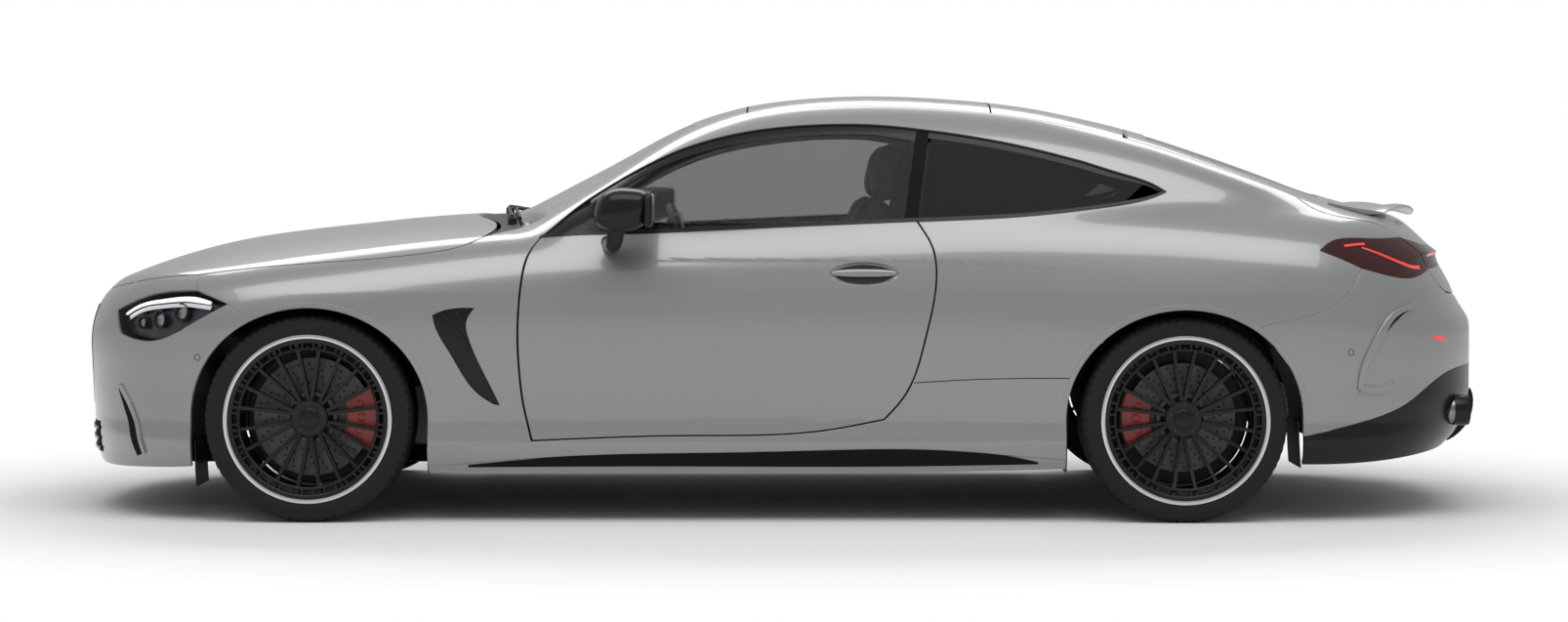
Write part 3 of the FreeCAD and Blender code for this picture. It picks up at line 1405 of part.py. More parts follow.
def floor_pan():
    """Floor, sills, tunnel, firewall, hinge posts and the raised boot floor in one piece."""
    low, top = size.floor_height, floor_top
    kick_x, rear_x = real(700, 0, 0).x, real(2225, 0, 0).x
    tunnel_top = real(0, 0, 330).z
    sill_top = real(0, 0, 262).z
    liner_front = rear_axle_x - rr - size.arch_reach - size.liner_wall - 3
    face = sill_face()
    sill_inner = face - SILL_BOX
    floor_half = sill_inner + 25
    shape = box(firewall_x, kick_x, -floor_half, floor_half, low, top)
    parts = [box(firewall_x, kick_x - 100, -TUNNEL_HALF, TUNNEL_HALF, top - 1, tunnel_top),
             box(firewall_x, firewall_x + 18, post_y + 30, -post_y - 30, low, real(0, 0, 820).z),
             box(firewall_x, firewall_x + 18, -640, 640, real(0, 0, 800).z, real(0, 0, 880).z),
             box(kick_x, kick_x + 20, -BOOT_HALF, BOOT_HALF, low, seat_shelf_z + 20),
             box(kick_x, boot_step_x, -BOOT_HALF, BOOT_HALF, seat_shelf_z, seat_shelf_z + 20),
             box(boot_step_x, rear_x, -BOOT_HALF, BOOT_HALF, boot_floor_z, boot_floor_z + 20),
             box(rear_x - 20, rear_x, -BOOT_HALF, BOOT_HALF, boot_floor_z - 120, real(0, 0, 690).z)]
    for sign in (-1, 1):
        inner, outer = sorted((sign * sill_inner, sign * face))
        parts.append(box(firewall_x, liner_front, inner, outer, top - 5, sill_top))
        inner, outer = sorted((sign * (-post_y - 65), sign * -post_y))
        parts.append(box(pivot_x - 40, pivot_x + 20, inner, outer, low, real(0, 0, 820).z))
        inner, outer = sorted((sign * (-post_y - 65), sign * (-post_y - 30)))
        parts.append(box(firewall_x, pivot_x, inner, outer, low, real(0, 0, 820).z))
    shape = shape.fuse(parts)
    pins = hinge_pins()
    return shape.fuse(pins + [mirror_solid(p) for p in pins])


# Inside the cabin
SEAT_Y = 372.0


def seats():
    front_x, front_z = real(-40, 0, 0).x, floor_top + size.bore_clearance - 60
    solids = []
    for y in (-SEAT_Y, SEAT_Y):
        solids.append(plain_seat(y, front_x, front_z + 90, 1.0, 500))
    return Part.makeCompound(solids)


def plain_seat(y, x, z, scale, width):
    places = [(-150, 150), (-170, 205), (-120, 238), (250, 175), (330, 260), (425, 640),
              (468, 800), (520, 812), (545, 780), (525, 640), (455, 260), (400, 60), (-130, 60)]
    corners = [Vector(x + px * scale, y - width / 2, z + pz * scale) for px, pz in places]
    profile = Part.Face(Part.makePolygon(corners + [corners[0]]))
    seat_solid = profile.extrude(Vector(0, width, 0))
    rails = box(x - 100, x + 380, y - 180, y + 180, floor_top + size.bore_clearance, z + 60 * scale + 1)
    return seat_solid.fuse(rails)


def rear_seats():
    x, z = real(745, 0, 0).x, seat_shelf_z + 20 + size.bore_clearance
    places = [(0, 0), (0, 95), (300, 60), (440, 330), (500, 345), (520, 300), (400, 0)]
    solids = []
    for y in (-320, 320):
        corners = [Vector(x + px, y - 240, z + pz) for px, pz in places]
        profile = Part.Face(Part.makePolygon(corners + [corners[0]]))
        solids.append(profile.extrude(Vector(0, 480, 0)))
    return Part.makeCompound(solids)


WHEEL_TILT = 24.0
wheel_centre = real(-318, 0, 0) + Vector(0, -SEAT_Y, real(0, 0, 862).z)


def steering_axis():
    turn = math.radians(WHEEL_TILT)
    return Vector(-math.cos(turn), 0, -math.sin(turn))


def dashboard():
    """The instrument panel from door to door, with the steering column."""
    x = firewall_x + 18 + size.joint_gap
    places = [(0, 620), (0, 895), (330, 925), (470, 905), (520, 840), (480, 700), (300, 560), (160, 560)]
    half = -post_y - 70
    corners = [Vector(x + px, -half, real(0, 0, pz).z) for px, pz in places]
    profile = Part.Face(Part.makePolygon(corners + [corners[0]]))
    panel = profile.extrude(Vector(0, 2 * half, 0))
    axis = steering_axis()
    column = rod(wheel_centre + axis * 46, wheel_centre + axis * 240, 38)
    return panel.fuse(column)


GRIP_RADIUS = 15.0


def steering_wheel():
    axis = steering_axis()
    side = Vector(0, 1, 0)
    corners = []
    for k in range(8):
        turn = math.pi * (k + 0.5) / 4
        out = size.steering_wheel_radius + GRIP_RADIUS * math.cos(turn)
        corners.append(wheel_centre + side * out + axis * (GRIP_RADIUS * math.sin(turn)))
    grip = Part.Face(Part.makePolygon(corners + [corners[0]]))
    rim_ring = grip.revolve(wheel_centre, axis, 360)
    hub = rod(wheel_centre + axis * -12, wheel_centre + axis * (46 - size.bore_clearance), 62)
    down = axis.cross(side)
    spokes = []
    for direction in (side, side * -1, down):
        beam = box(40, size.steering_wheel_radius, -16, 16, -6, 8)
        frame = FreeCAD.Matrix()
        third = axis.cross(direction)
        frame.A11, frame.A21, frame.A31 = direction.x, direction.y, direction.z
        frame.A12, frame.A22, frame.A32 = third.x, third.y, third.z
        frame.A13, frame.A23, frame.A33 = axis.x, axis.y, axis.z
        frame.A14, frame.A24, frame.A34 = wheel_centre.x, wheel_centre.y, wheel_centre.z
        spokes.append(beam.transformGeometry(frame))
    return rim_ring.fuse([hub] + spokes)


def door_slab(outer_depth, inner_depth):
    """The door's outline between two depths, without its gaps."""
    grid = coons(door_bottom, door_rear, door_belt, door_front)
    return thick([grid], outer_depth, inner_depth)


def mirror_sail():
    """The blank corner of the window ahead of the door's glass."""
    low = run([seat(door_belt[0] * 0.8 + door_belt[1] * 0.2), door_belt[1]], 4)
    top = run([seat(window_a[0] * 0.7 + window_a[2] * 0.3), window_a[2]], 4)
    front, rear = run([low[0], top[0]], 3), run([low[-1], top[-1]], 3)
    return glass([low, rear, top[::-1], front[::-1]], [2 * size.glass_gap, size.joint_gap, size.shut_gap, 0])


def mirror():
    return Part.makeCompound([mirror_housing(), mirror_sail()])


MIRROR_HALF_WIDTH, MIRROR_HALF_HEIGHT = 112.0, 68.0
MIRROR_DEPTH = 92.0


def mirror_housing():
    """A rounded shell with a flat back, on a foot that stands on the door's shoulder."""
    root = side_point(-575, 925)
    centre = Vector(real(-518, 0, 0).x, root.y - 165, real(0, 0, 1015).z)
    front, back = [], []
    for u in (-1.0, -0.55, 0.0, 0.55, 1.0):
        front_row, back_row = [], []
        for v in (-1.0, -0.5, 0.0, 0.5, 1.0):
            out = Vector(0, -u * MIRROR_HALF_WIDTH * (1 - 0.2 * v * v),
                         v * MIRROR_HALF_HEIGHT * (1 - 0.3 * u * u))
            bulge = math.sqrt((1 - 0.92 * u * u) * (1 - 0.9 * v * v))
            front_row.append(centre + out - Vector(20 + MIRROR_DEPTH * bulge - 25 * u, 0, 0))
            back_row.append(centre + out * 0.97 + Vector(42 + 14 * u, 0, 0))
        front.append(front_row)
        back.append(back_row)
    housing = between(front, back)
    start = root - normal(root) * (size.door_skin / 2)
    foot = rod(start, centre, 17)
    return housing.fuse(foot).cut(door_slab(-size.bore_clearance, size.door_depth))


single_nodes = {
    "front_wings": front_wings,
    "body_sides": body_sides,
    "quarter_glass": quarter_glass,
    "windscreen": windscreen,
    "roof": roof,
    "cowl": cowl,
    "bonnet": bonnet,
    "tailgate": tailgate,
    "gate_lamps": gate_lamps,
    "rear_window": rear_window,
    "tail_lamps": tail_lamps,
    "rear_bumper": rear_bumper,
    "diffuser": diffuser,
    "exhaust": exhaust,
    "front_bumper": front_bumper,
    "grille": grille,
    "headlamps": headlamps,
    "side_skirts": side_skirts,
    "wheel_liners": wheel_liners,
    "front_subframe": front_subframe,
    "rear_subframe": rear_subframe,
    "engine": engine,
    "floor_pan": floor_pan,
    "seats": seats,
    "rear_seats": rear_seats,
    "dashboard": dashboard,
    "steering_wheel": steering_wheel,
}
sided_nodes = {"door": door_panel, "door_glass": door_glass, "mirror": mirror}
wheel_sets = (
    ("front", front_axle_x, size.front_track, fr, size.front_tyre_width, size.front_disc_radius),
    ("rear", rear_axle_x, size.rear_track, rr, size.rear_tyre_width, size.rear_disc_radius),
)


def add_sided(label, shape, place=Vector(0, 0, 0)):
    """Adds a left-hand shape, and its mirror image on the right."""
    add_node(label + "_left", shape, Vector(place.x, -place.y, place.z))
    add_node(label + "_right", mirror_solid(shape), place)


def build_car():
    for label, build in single_nodes.items():
        add_node(label, build())
    for label, build in sided_nodes.items():
        add_sided(label, build())
    for axle, axle_x, track, radius, width, disc_radius in wheel_sets:
        place = Vector(axle_x, track / 2, radius)
        add_sided("tyre_" + axle, tyre(radius, width), place)
        add_sided("rim_" + axle, rim(width), place)
        add_sided("disc_" + axle, disc(disc_radius), place)
    add_sided("knuckle", upright(size.front_disc_radius, 1),
              Vector(front_axle_x, size.front_track / 2, fr))


def check_node(node):
    if "Invalid" in node.State or "Error" in node.State:
        raise RuntimeError(node.Label + " did not build")
    if node.Shape.isNull() or not node.Shape.isValid():
        raise RuntimeError(node.Label + " has no valid shape")


build_car()
document.recompute()
os.makedirs("parts", exist_ok=True)
for node in nodes:
    check_node(node)
    node.Shape.exportStep("parts/%s.step" % node.Label)
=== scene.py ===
import bpy
import bmesh
import math
import numpy as np
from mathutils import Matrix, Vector


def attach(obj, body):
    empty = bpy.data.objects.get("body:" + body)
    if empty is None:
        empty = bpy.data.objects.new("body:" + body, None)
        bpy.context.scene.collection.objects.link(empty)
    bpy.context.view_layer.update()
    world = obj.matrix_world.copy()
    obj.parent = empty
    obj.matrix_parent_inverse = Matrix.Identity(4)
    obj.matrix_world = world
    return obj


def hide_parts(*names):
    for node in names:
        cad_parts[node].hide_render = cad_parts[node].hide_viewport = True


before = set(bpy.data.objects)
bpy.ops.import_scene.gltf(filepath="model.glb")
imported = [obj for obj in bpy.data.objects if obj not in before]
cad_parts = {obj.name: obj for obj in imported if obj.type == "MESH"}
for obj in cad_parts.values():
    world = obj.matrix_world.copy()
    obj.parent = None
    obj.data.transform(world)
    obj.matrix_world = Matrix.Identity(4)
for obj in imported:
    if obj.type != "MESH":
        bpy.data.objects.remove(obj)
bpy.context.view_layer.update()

# The form of the body, in millimetres, as in the part's source. Shapes are turned to metres
# when they become meshes. The nose points along -X and the car's left side is -Y.
FRONT_AXLE, REAR_AXLE = -1561.0, 1314.0
FRONT_RADIUS, REAR_RADIUS = 340.0, 336.5
HALF_TRACK = 812.5
ARCH_REACH, ARCH_RISE = 52.0, 25.0
SHUT_GAP, HINGE_GAP, REAR_GAP, GATE_GAP, JOINT = 5.0, 6.0, 14.0, 15.0, 0.3
# A hem rounds the edge of each panel, so a panel ends at its gap plus its hem
HEM = 2.0
SEAM = JOINT + HEM
# The nose and tail curve in from these places, and rays are cast from a core inside the body. The
# last three lengths reach past the body's side, top and ends.
NOSE_START, TAIL_START = -1650.0, 1560.0
CORE_X, CORE_Z = 1600.0, 520.0
SIDE_REACH, TOP_REACH, END_REACH = 1164.0, 1418.0, 4850.0
FA, RA, FR, RR = FRONT_AXLE, REAR_AXLE, FRONT_RADIUS, REAR_RADIUS
FINE = 6


def curve(*points):
    """A smooth curve value(x) through (x, value) points that never overshoots them."""
    xs = np.array([p[0] for p in points], float)
    vs = np.array([p[1] for p in points], float)
    slopes = np.diff(vs) / np.diff(xs)
    tangents = np.zeros(len(xs))
    tangents[0], tangents[-1] = slopes[0], slopes[-1]
    for i in range(1, len(xs) - 1):
        before, after = slopes[i - 1], slopes[i]
        if before * after > 0:
            w1 = 2 * (xs[i + 1] - xs[i]) + (xs[i] - xs[i - 1])
            w2 = (xs[i + 1] - xs[i]) + 2 * (xs[i] - xs[i - 1])
            tangents[i] = (w1 + w2) / (w1 / before + w2 / after)

    def value(x):
        x = np.asarray(x, float)
        i = np.clip(np.searchsorted(xs, x) - 1, 0, len(xs) - 2)
        span = xs[i + 1] - xs[i]
        t = (x - xs[i]) / span
        inner = ((1 + 2 * t) * (1 - t) ** 2 * vs[i] + t * (1 - t) ** 2 * span * tangents[i]
                 + t * t * (3 - 2 * t) * vs[i + 1] + t * t * (t - 1) * span * tangents[i + 1])
        low = vs[0] + tangents[0] * (x - xs[0])
        high = vs[-1] + tangents[-1] * (x - xs[-1])
        return np.where(x <= xs[0], low, np.where(x >= xs[-1], high, inner))
    return value


bonnet_and_deck = curve((-2425, 650), (-2400, 705), (-2367, 748), (-2311, 782), (-2256, 806),
                        (-2102, 862), (-1893, 915), (-1684, 946), (-1475, 969), (-1266, 990),
                        (-1056, 1004), (-936, 1008), (-400, 985), (0, 975), (900, 975),
                        (1600, 1010), (1872, 1030), (1977, 1026), (2100, 1008), (2242, 972),
                        (2425, 900))
shoulder = curve((-2425, 600), (-2256, 735), (-1938, 800), (-1650, 845), (-1370, 877),
                 (-1043, 912), (-800, 934), (-430, 952), (0, 970), (410, 987), (800, 1003),
                 (1200, 1008), (1600, 985), (1900, 958), (2100, 928), (2240, 900), (2425, 850))
nose = curve((120, -2330), (160, -2392), (200, -2404), (300, -2413), (450, -2420),
             (600, -2425), (680, -2424), (760, -2412), (850, -2390))
tail = curve((200, 2290), (260, 2350), (320, 2385), (400, 2402), (600, 2402), (640, 2398),
             (663, 2386), (690, 2368), (725, 2347), (776, 2324), (811, 2304), (852, 2282),
             (880, 2264), (917, 2243), (960, 2222), (1050, 2190))
flank = curve((120, 850), (165, 880), (215, 915), (265, 924), (330, 912), (430, 914),
              (560, 924), (690, 930), (748, 930), (775, 926), (820, 916), (900, 892),
              (975, 866), (1050, 838))
roof_line = curve((-1040, 951), (-936, 1005), (-630, 1164), (-323, 1323), (-220, 1358),
                  (-115, 1384), (-10, 1400), (94, 1410), (199, 1416), (303, 1418),
                  (408, 1416), (617, 1404), (826, 1381), (1035, 1341), (1245, 1289),
                  (1454, 1222), (1663, 1148), (1872, 1066), (1977, 1022), (2150, 940))
roof_crown = curve((-1000, 105), (-323, 62), (100, 44), (700, 44), (1245, 62), (1900, 70))
cabin_side = curve((900, 868), (970, 845), (1100, 775), (1220, 702), (1330, 612), (1420, 525))
cabin_taper = curve((-1000, 45), (-600, 18), (-200, 0), (500, 0), (1000, 28), (1500, 80),
                    (1900, 135), (2200, 190))
cabin_blend = curve((-1000, 30), (400, 30), (1000, 60), (1600, 90), (2200, 60))


def bump(t):
    return np.exp(-t * t)


def blend_max(a, b, width):
    overlap = np.maximum(width - np.abs(a - b), 0.0) / width
    return np.maximum(a, b) + overlap * overlap * width / 4


def half_width(x, z):
    rise = bump((z - 600.0) / 330.0)
    front = 22.0 * bump((x - FRONT_AXLE) / 430.0)
    rear = 40.0 * bump((x - REAR_AXLE) / 560.0)
    return flank(z) + (front + rear) * rise


def form(points):
    """Below zero inside the body, above zero outside."""
    x, y, z = points[..., 0], np.abs(points[..., 1]), points[..., 2]
    front = np.maximum(0.0, (NOSE_START - x) / (NOSE_START - nose(z)))
    rear = np.maximum(0.0, (x - TAIL_START) / (tail(z) - TAIL_START))
    outline = (y / half_width(x, z)) ** 2.3 + front ** 2.7 + rear ** 2.9
    side = 900 * (outline ** (1 / 2.3) - 1)
    centre = bonnet_and_deck(x)
    top = z - (centre + (shoulder(x) - centre) * (y / 830) ** 2.3)
    lower = blend_max(side, top, 150)
    side = y - (cabin_side(z) - cabin_taper(x))
    top = z - (roof_line(x) - roof_crown(x) * (y / 700) ** 2)
    upper = np.maximum(blend_max(0.8 * side, top, 110), 880.0 - z)
    return -blend_max(-lower, -upper, cabin_blend(x))


def cast(start, direction, reach):
    """The points where rays from inside leave the form."""
    start = np.atleast_2d(start).astype(float)
    direction = np.broadcast_to(direction, start.shape).astype(float)
    near = np.zeros(len(start))
    far = np.broadcast_to(reach, near.shape).astype(float).copy()
    for _ in range(20):
        middle = (near + far) / 2
        inside = form(start + direction * middle[:, None]) < 0
        near = np.where(inside, middle, near)
        far = np.where(inside, far, middle)
    return start + direction * near[:, None]


def normal(points):
    points = np.asarray(points, float)
    step = 0.5
    gradient = np.stack([form(points + e) - form(points - e) for e in np.eye(3) * step], axis=-1)
    return gradient / np.maximum(np.linalg.norm(gradient, axis=-1, keepdims=True), 1e-9)


def seat(points):
    """Moves nearby points onto the form's surface."""
    points = np.atleast_2d(points)
    centre = np.stack([np.clip(points[:, 0], -CORE_X, CORE_X), np.zeros(len(points)),
                       np.full(len(points), CORE_Z)], axis=1)
    away = points - centre
    distance = np.linalg.norm(away, axis=1)
    return cast(centre, away / distance[:, None], 1.6 * distance)


def side_point(x, z):
    return cast(np.array([x, 0.0, z]), np.array([0, -1.0, 0]), SIDE_REACH)[0]


def plan_point(x, y):
    return cast(np.array([x, y, CORE_Z]), np.array([0, 0, 1.0]), TOP_REACH)[0]


def rear_point(y, z):
    return cast(np.array([CORE_X, y, z]), np.array([1.0, 0, 0]), END_REACH)[0]


def front_point(y, z):
    return cast(np.array([-CORE_X, y, z]), np.array([-1.0, 0, 0]), END_REACH)[0]


def seat_side(point):
    return side_point(point[0], point[2])


def side_line(*places):
    return [side_point(x, z) for x, z in places]


def plan_line(*places):
    return [plan_point(x, y) for x, y in places]


def mirrored(points):
    return [np.array([p[0], -p[1], p[2]]) for p in points]


def smooth_line(points, count):
    """Evenly spaced points along a natural cubic spline through the given ones."""
    p = np.array(points, float)
    if len(p) == 2:
        t = np.linspace(0, 1, count)[:, None]
        return p[0] * (1 - t) + p[1] * t
    knots = np.concatenate([[0], np.cumsum(np.linalg.norm(np.diff(p, axis=0), axis=1))])
    h = np.diff(knots)
    n = len(p)
    matrix = np.zeros((n, n))
    right = np.zeros((n, 3))
    matrix[0, 0] = matrix[-1, -1] = 1
    for i in range(1, n - 1):
        matrix[i, i - 1:i + 2] = h[i - 1], 2 * (h[i - 1] + h[i]), h[i]
        right[i] = 6 * ((p[i + 1] - p[i]) / h[i] - (p[i] - p[i - 1]) / h[i - 1])
    bend = np.linalg.solve(matrix, right)
    s = np.linspace(0, knots[-1], 60 * n)
    i = np.clip(np.searchsorted(knots, s) - 1, 0, n - 2)
    a, b = (knots[i + 1] - s)[:, None], (s - knots[i])[:, None]
    w = h[i][:, None]
    dense = (bend[i] * a ** 3 / (6 * w) + bend[i + 1] * b ** 3 / (6 * w)
             + (p[i] / w - bend[i] * w / 6) * a + (p[i + 1] / w - bend[i + 1] * w / 6) * b)
    travel = np.concatenate([[0], np.cumsum(np.linalg.norm(np.diff(dense, axis=0), axis=1))])
    even = np.linspace(0, travel[-1], count)
    return np.stack([np.interp(even, travel, dense[:, k]) for k in range(3)], axis=1)


def run(points, count):
    """A line on the form through points or (x, z) places, finer than the source's by FINE."""
    points = [side_point(*p) if len(p) == 2 else p for p in points]
    line = smooth_line(points, (count - 1) * FINE + 1)
    line[1:-1] = seat(line[1:-1])
    line[0], line[-1] = points[0], points[-1]
    return list(line)


def across(points, count):
    """A line across the car through points or (x, y) places, the last of them in the middle."""
    points = [plan_point(*p) if len(p) == 2 else p for p in points]
    return run(points + mirrored(points[:-1])[::-1], count)


def join(*lines):
    joined = list(lines[0])
    for line in lines[1:]:
        joined += list(line[1:])
    return joined


def arch_point(axle_x, radius, angle):
    turn = math.radians(angle)
    return side_point(axle_x - (radius + ARCH_REACH) * math.cos(turn),
                      radius + (radius + ARCH_RISE) * math.sin(turn))


def arch(axle_x, radius, first, last, count):
    fine = (count - 1) * FINE + 1
    return [arch_point(axle_x, radius, first + (last - first) * i / (fine - 1)) for i in range(fine)]


def below_arch(axle_x, radius, side, z):
    return side_point(axle_x + side * (radius + ARCH_REACH), z)


def leg(foot, axle_x, radius, angle, count):
    """From the foot of an arch up the straight part and round to an angle."""
    level = 0.0 if angle < 90 else 180.0
    corner = arch_point(axle_x, radius, level)
    drop = np.linalg.norm(corner - foot)
    bend = (radius + ARCH_REACH) * math.radians(abs(angle - level))
    fine = (count - 1) * FINE + 1
    line = []
    for i in range(fine):
        travel = (drop + bend) * i / (fine - 1)
        if travel <= drop:
            line.append(seat_side(foot + (corner - foot) * (travel / drop)))
        else:
            line.append(arch_point(axle_x, radius, level + (angle - level) * (travel - drop) / bend))
    return line


def unit(v):
    return v / np.maximum(np.linalg.norm(v, axis=-1, keepdims=True), 1e-9)


def heading(line):
    """The way a line runs at each of its points."""
    return np.concatenate([line[1:], line[-1:]]) - np.concatenate([line[:1], line[:-1]])


def across_line(line):
    """Unit steps over the surface to the left of a line."""
    return unit(np.cross(normal(line), heading(line)))


def loop_inset(lines, gaps):
    """Moves a closed loop of lines inwards over the surface, each line by its own gap."""
    count = len(lines)
    lines = [np.array(line, float) for line in lines]
    inward = [across_line(line) for line in lines]
    moved = [line + inward[k] * gaps[k] for k, line in enumerate(lines)]
    for k, line in enumerate(lines):
        before = (k - 1) % count
        a, b = inward[before][-1], inward[k][0]
        cosine = float(a @ b)
        spread = max(1 - cosine * cosine, 0.1)
        shift = (a * (gaps[before] - cosine * gaps[k]) + b * (gaps[k] - cosine * gaps[before])) / spread
        moved[before][-1] = line[0] + shift
        moved[k][0] = line[0] + shift
    result = [seat(line) for line in moved]
    for k in range(count):
        result[k][0] = result[k - 1][-1]
    return [list(line) for line in result]


def open_inset(lines, gaps):
    closed = loop_inset(list(lines) + [[lines[-1][-1], (lines[-1][-1] + lines[0][0]) / 2, lines[0][0]]],
                        list(gaps) + [0])
    return closed[:-1]


def coons(bottom, right, top, left):
    """A grid of points on the form inside four lines, as an array [column, row]."""
    bottom, right, top, left = (np.array(v, float) for v in (bottom, right, top, left))
    u = np.linspace(0, 1, len(bottom))[:, None, None]
    v = np.linspace(0, 1, len(left))[None, :, None]
    grid = (bottom[:, None] * (1 - v) + top[:, None] * v + left[None] * (1 - u) + right[None] * u
            - bottom[0] * (1 - u) * (1 - v) - bottom[-1] * u * (1 - v)
            - top[0] * (1 - u) * v - top[-1] * u * v)
    inner = grid[1:-1, 1:-1].reshape(-1, 3)
    if len(inner):
        grid[1:-1, 1:-1] = seat(inner).reshape(grid[1:-1, 1:-1].shape)
    grid[:, 0], grid[:, -1], grid[0, :], grid[-1, :] = bottom, top, left, right
    return grid


def inset_grid(bottom, right, top, left, gaps):
    """The grid inside a loop of four lines, each first moved inwards by its gap."""
    one, two, three, four = loop_inset([bottom, right, top[::-1], left[::-1]], gaps)
    return coons(one, two, three[::-1], four[::-1])


def mirrored_grid(grid):
    return grid[::-1] * np.array([1, -1, 1])


# Meshes
bodies = {}


def make_object(name, vertices, faces, material, body, normals=None):
    """A smooth-shaded piece from points in millimetres, riding on its body."""
    mesh = bpy.data.meshes.new(name)
    mesh.from_pydata([tuple(v) for v in np.asarray(vertices) * 0.001], [], [tuple(f) for f in faces])
    mesh.update()
    piece = bpy.data.objects.new(name, mesh)
    bpy.context.scene.collection.objects.link(piece)
    for one in material if isinstance(material, (list, tuple)) else [material]:
        mesh.materials.append(one)
    mesh.polygons.foreach_set("use_smooth", [True] * len(mesh.polygons))
    if normals is not None:
        mesh.normals_split_custom_set_from_vertices([tuple(n) for n in normals])
    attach(piece, body)
    bodies[piece.name] = body
    return piece


def both(piece):
    """Adds the right-hand twin of a left-hand piece and returns the two."""
    mesh = piece.data
    vertices = np.array([v.co for v in mesh.vertices]) * np.array([1000, -1000, 1000])
    faces = [tuple(reversed(p.vertices)) for p in mesh.polygons]
    name, body = (text.replace("_left", "_right") for text in (piece.name, bodies[piece.name]))
    twin = make_object(name, vertices, faces, list(mesh.materials), body)
    for ours, theirs in zip(twin.data.polygons, mesh.polygons):
        ours.material_index = theirs.material_index
        ours.use_smooth = theirs.use_smooth
    if "normals_kept" in piece:
        kept = np.array(piece["normals_kept"]).reshape(-1, 3) * np.array([1, -1, 1])
        twin.data.normals_split_custom_set_from_vertices([tuple(n) for n in kept])
    if "sharp" in piece:
        twin.data.set_sharp_from_angle(angle=math.radians(piece["sharp"]))
    return [piece, twin]


def replace_all(pair, node):
    """The left twin replaces a node that has both sides in it."""
    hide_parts(node)


def replace_each(pair, node):
    """Each twin replaces the node of its own side."""
    for piece, side in zip(pair, ("left", "right")):
        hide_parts("%s_%s" % (node, side))


def sheet_parts(grids):
    """Welds grids into one list of points and quads; each grid may be (grid, left-out cells)."""
    points, quads = [], []
    for item in grids:
        grid, holes = item if isinstance(item, tuple) else (item, ())
        columns, rows = grid.shape[:2]
        base = len(points)
        points += list(grid.reshape(-1, 3))
        for i in range(columns - 1):
            for j in range(rows - 1):
                if any(a <= i < b and c <= j < d for a, b, c, d in holes):
                    continue
                quads.append((base + i * rows + j, base + (i + 1) * rows + j,
                              base + (i + 1) * rows + j + 1, base + i * rows + j + 1))
    points = np.array(points)
    keys = {}
    index = np.zeros(len(points), int)
    kept = []
    for n, key in enumerate(map(tuple, np.round(points, 1))):
        if key not in keys:
            keys[key] = len(kept)
            kept.append(n)
        index[n] = keys[key]
    quads = [tuple(dict.fromkeys(int(v) for v in index[list(q)])) for q in quads]
    quads = [q for q in quads if len(q) > 2]
    used = sorted({v for q in quads for v in q})
    place = {v: n for n, v in enumerate(used)}
    return points[[kept[v] for v in used]], [tuple(place[v] for v in q) for q in quads]


def boundary(quads):
    """Directed edges that belong to one face only."""
    edges = {}
    for q in quads:
        for a, b in zip(q, q[1:] + q[:1]):
            if a != b:
                edges[(a, b)] = edges.get((a, b), 0) + 1
    return [(a, b) for a, b in edges if (b, a) not in edges]


def facing(points, directions, face):
    """True if a face's corners run anticlockwise as seen from outside."""
    a, b, c, d = points[face[0]], points[face[1]], points[face[2]], points[face[-1]]
    across_face = np.cross(c - a, d - b) if len(face) == 4 else np.cross(b - a, c - a)
    return float(across_face @ directions[face[0]]) > 0


def shell(name, grids, material, body="body", hem=2.0, depth=14.0, recess=0.0, inner=False,
          lining=None):
    """A panel with rounded edges: an outer skin, a hem and a wall down to a depth."""
    points, quads = sheet_parts(grids)
    directions = normal(points)
    quads = [q if facing(points, directions, q) else tuple(reversed(q)) for q in quads]
    points = points - directions * recess
    edges = boundary(quads)
    sideways = {}
    for a, b in edges:
        along = points[b] - points[a]
        right = unit(np.cross(along, (directions[a] + directions[b]) / 2))
        for v in (a, b):
            sideways.setdefault(v, []).append(right)
    rim = sorted(sideways)
    out = {}
    for v in rim:
        total = unit(sum(sideways[v]))
        out[v] = total / max(0.5, float(total @ sideways[v][0]))
    o = np.array([out[v] for v in rim])
    n = directions[rim]
    p = points[rim]
    place = {v: k for k, v in enumerate(rim)}
    all_points, all_normals = [points], [directions]
    rings = []
    base = len(points)
    for angle in (30, 60, 90):
        a = math.radians(angle)
        all_points.append(p + o * hem * math.sin(a) - n * hem * (1 - math.cos(a)))
        all_normals.append(unit(n * math.cos(a) + o * math.sin(a)))
        rings.append(base)
        base += len(rim)
    all_points.append(p + o * hem - n * depth)
    all_normals.append(unit(o))
    rings.append(base)
    base += len(rim)
    if inner:
        all_points.append(p + o * hem - n * depth)
        all_normals.append(-n)
        low = base
        base += len(rim)
        all_points.append(points - directions * depth)
        all_normals.append(-directions)
    faces = list(quads)
    for a, b in edges:
        ladder = [(a, b)] + [(r + place[a], r + place[b]) for r in rings]
        for (a0, b0), (a1, b1) in zip(ladder, ladder[1:]):
            faces.append((b0, a0, a1, b1))
        if inner:
            faces.append((low + place[b], low + place[a], base + a, base + b))
    lined = len(faces)
    if inner:
        faces += [tuple(base + v for v in reversed(q)) for q in quads]
    normals = np.concatenate(all_normals)
    materials = [material, lining] if lining else material
    piece = make_object(name, np.concatenate(all_points), faces, materials, body, normals)
    if lining:
        for face in piece.data.polygons[lined:]:
            face.material_index = 1
    piece["normals_kept"] = normals.ravel().tolist()
    return piece


def resample(line, count):
    return list(seat(smooth_line(line, count)))


def ring_patches(outer, inner):
    """Four grids between a closed loop of four lines and a smaller loop inside it."""
    ties = [run([outer[k][0], inner[k][0]], 4) for k in range(4)]
    return [coons(outer[k], ties[(k + 1) % 4], [inner[k][0]] + resample(inner[k], len(outer[k]))[1:-1]
                  + [inner[k][-1]], ties[k]) for k in range(4)]


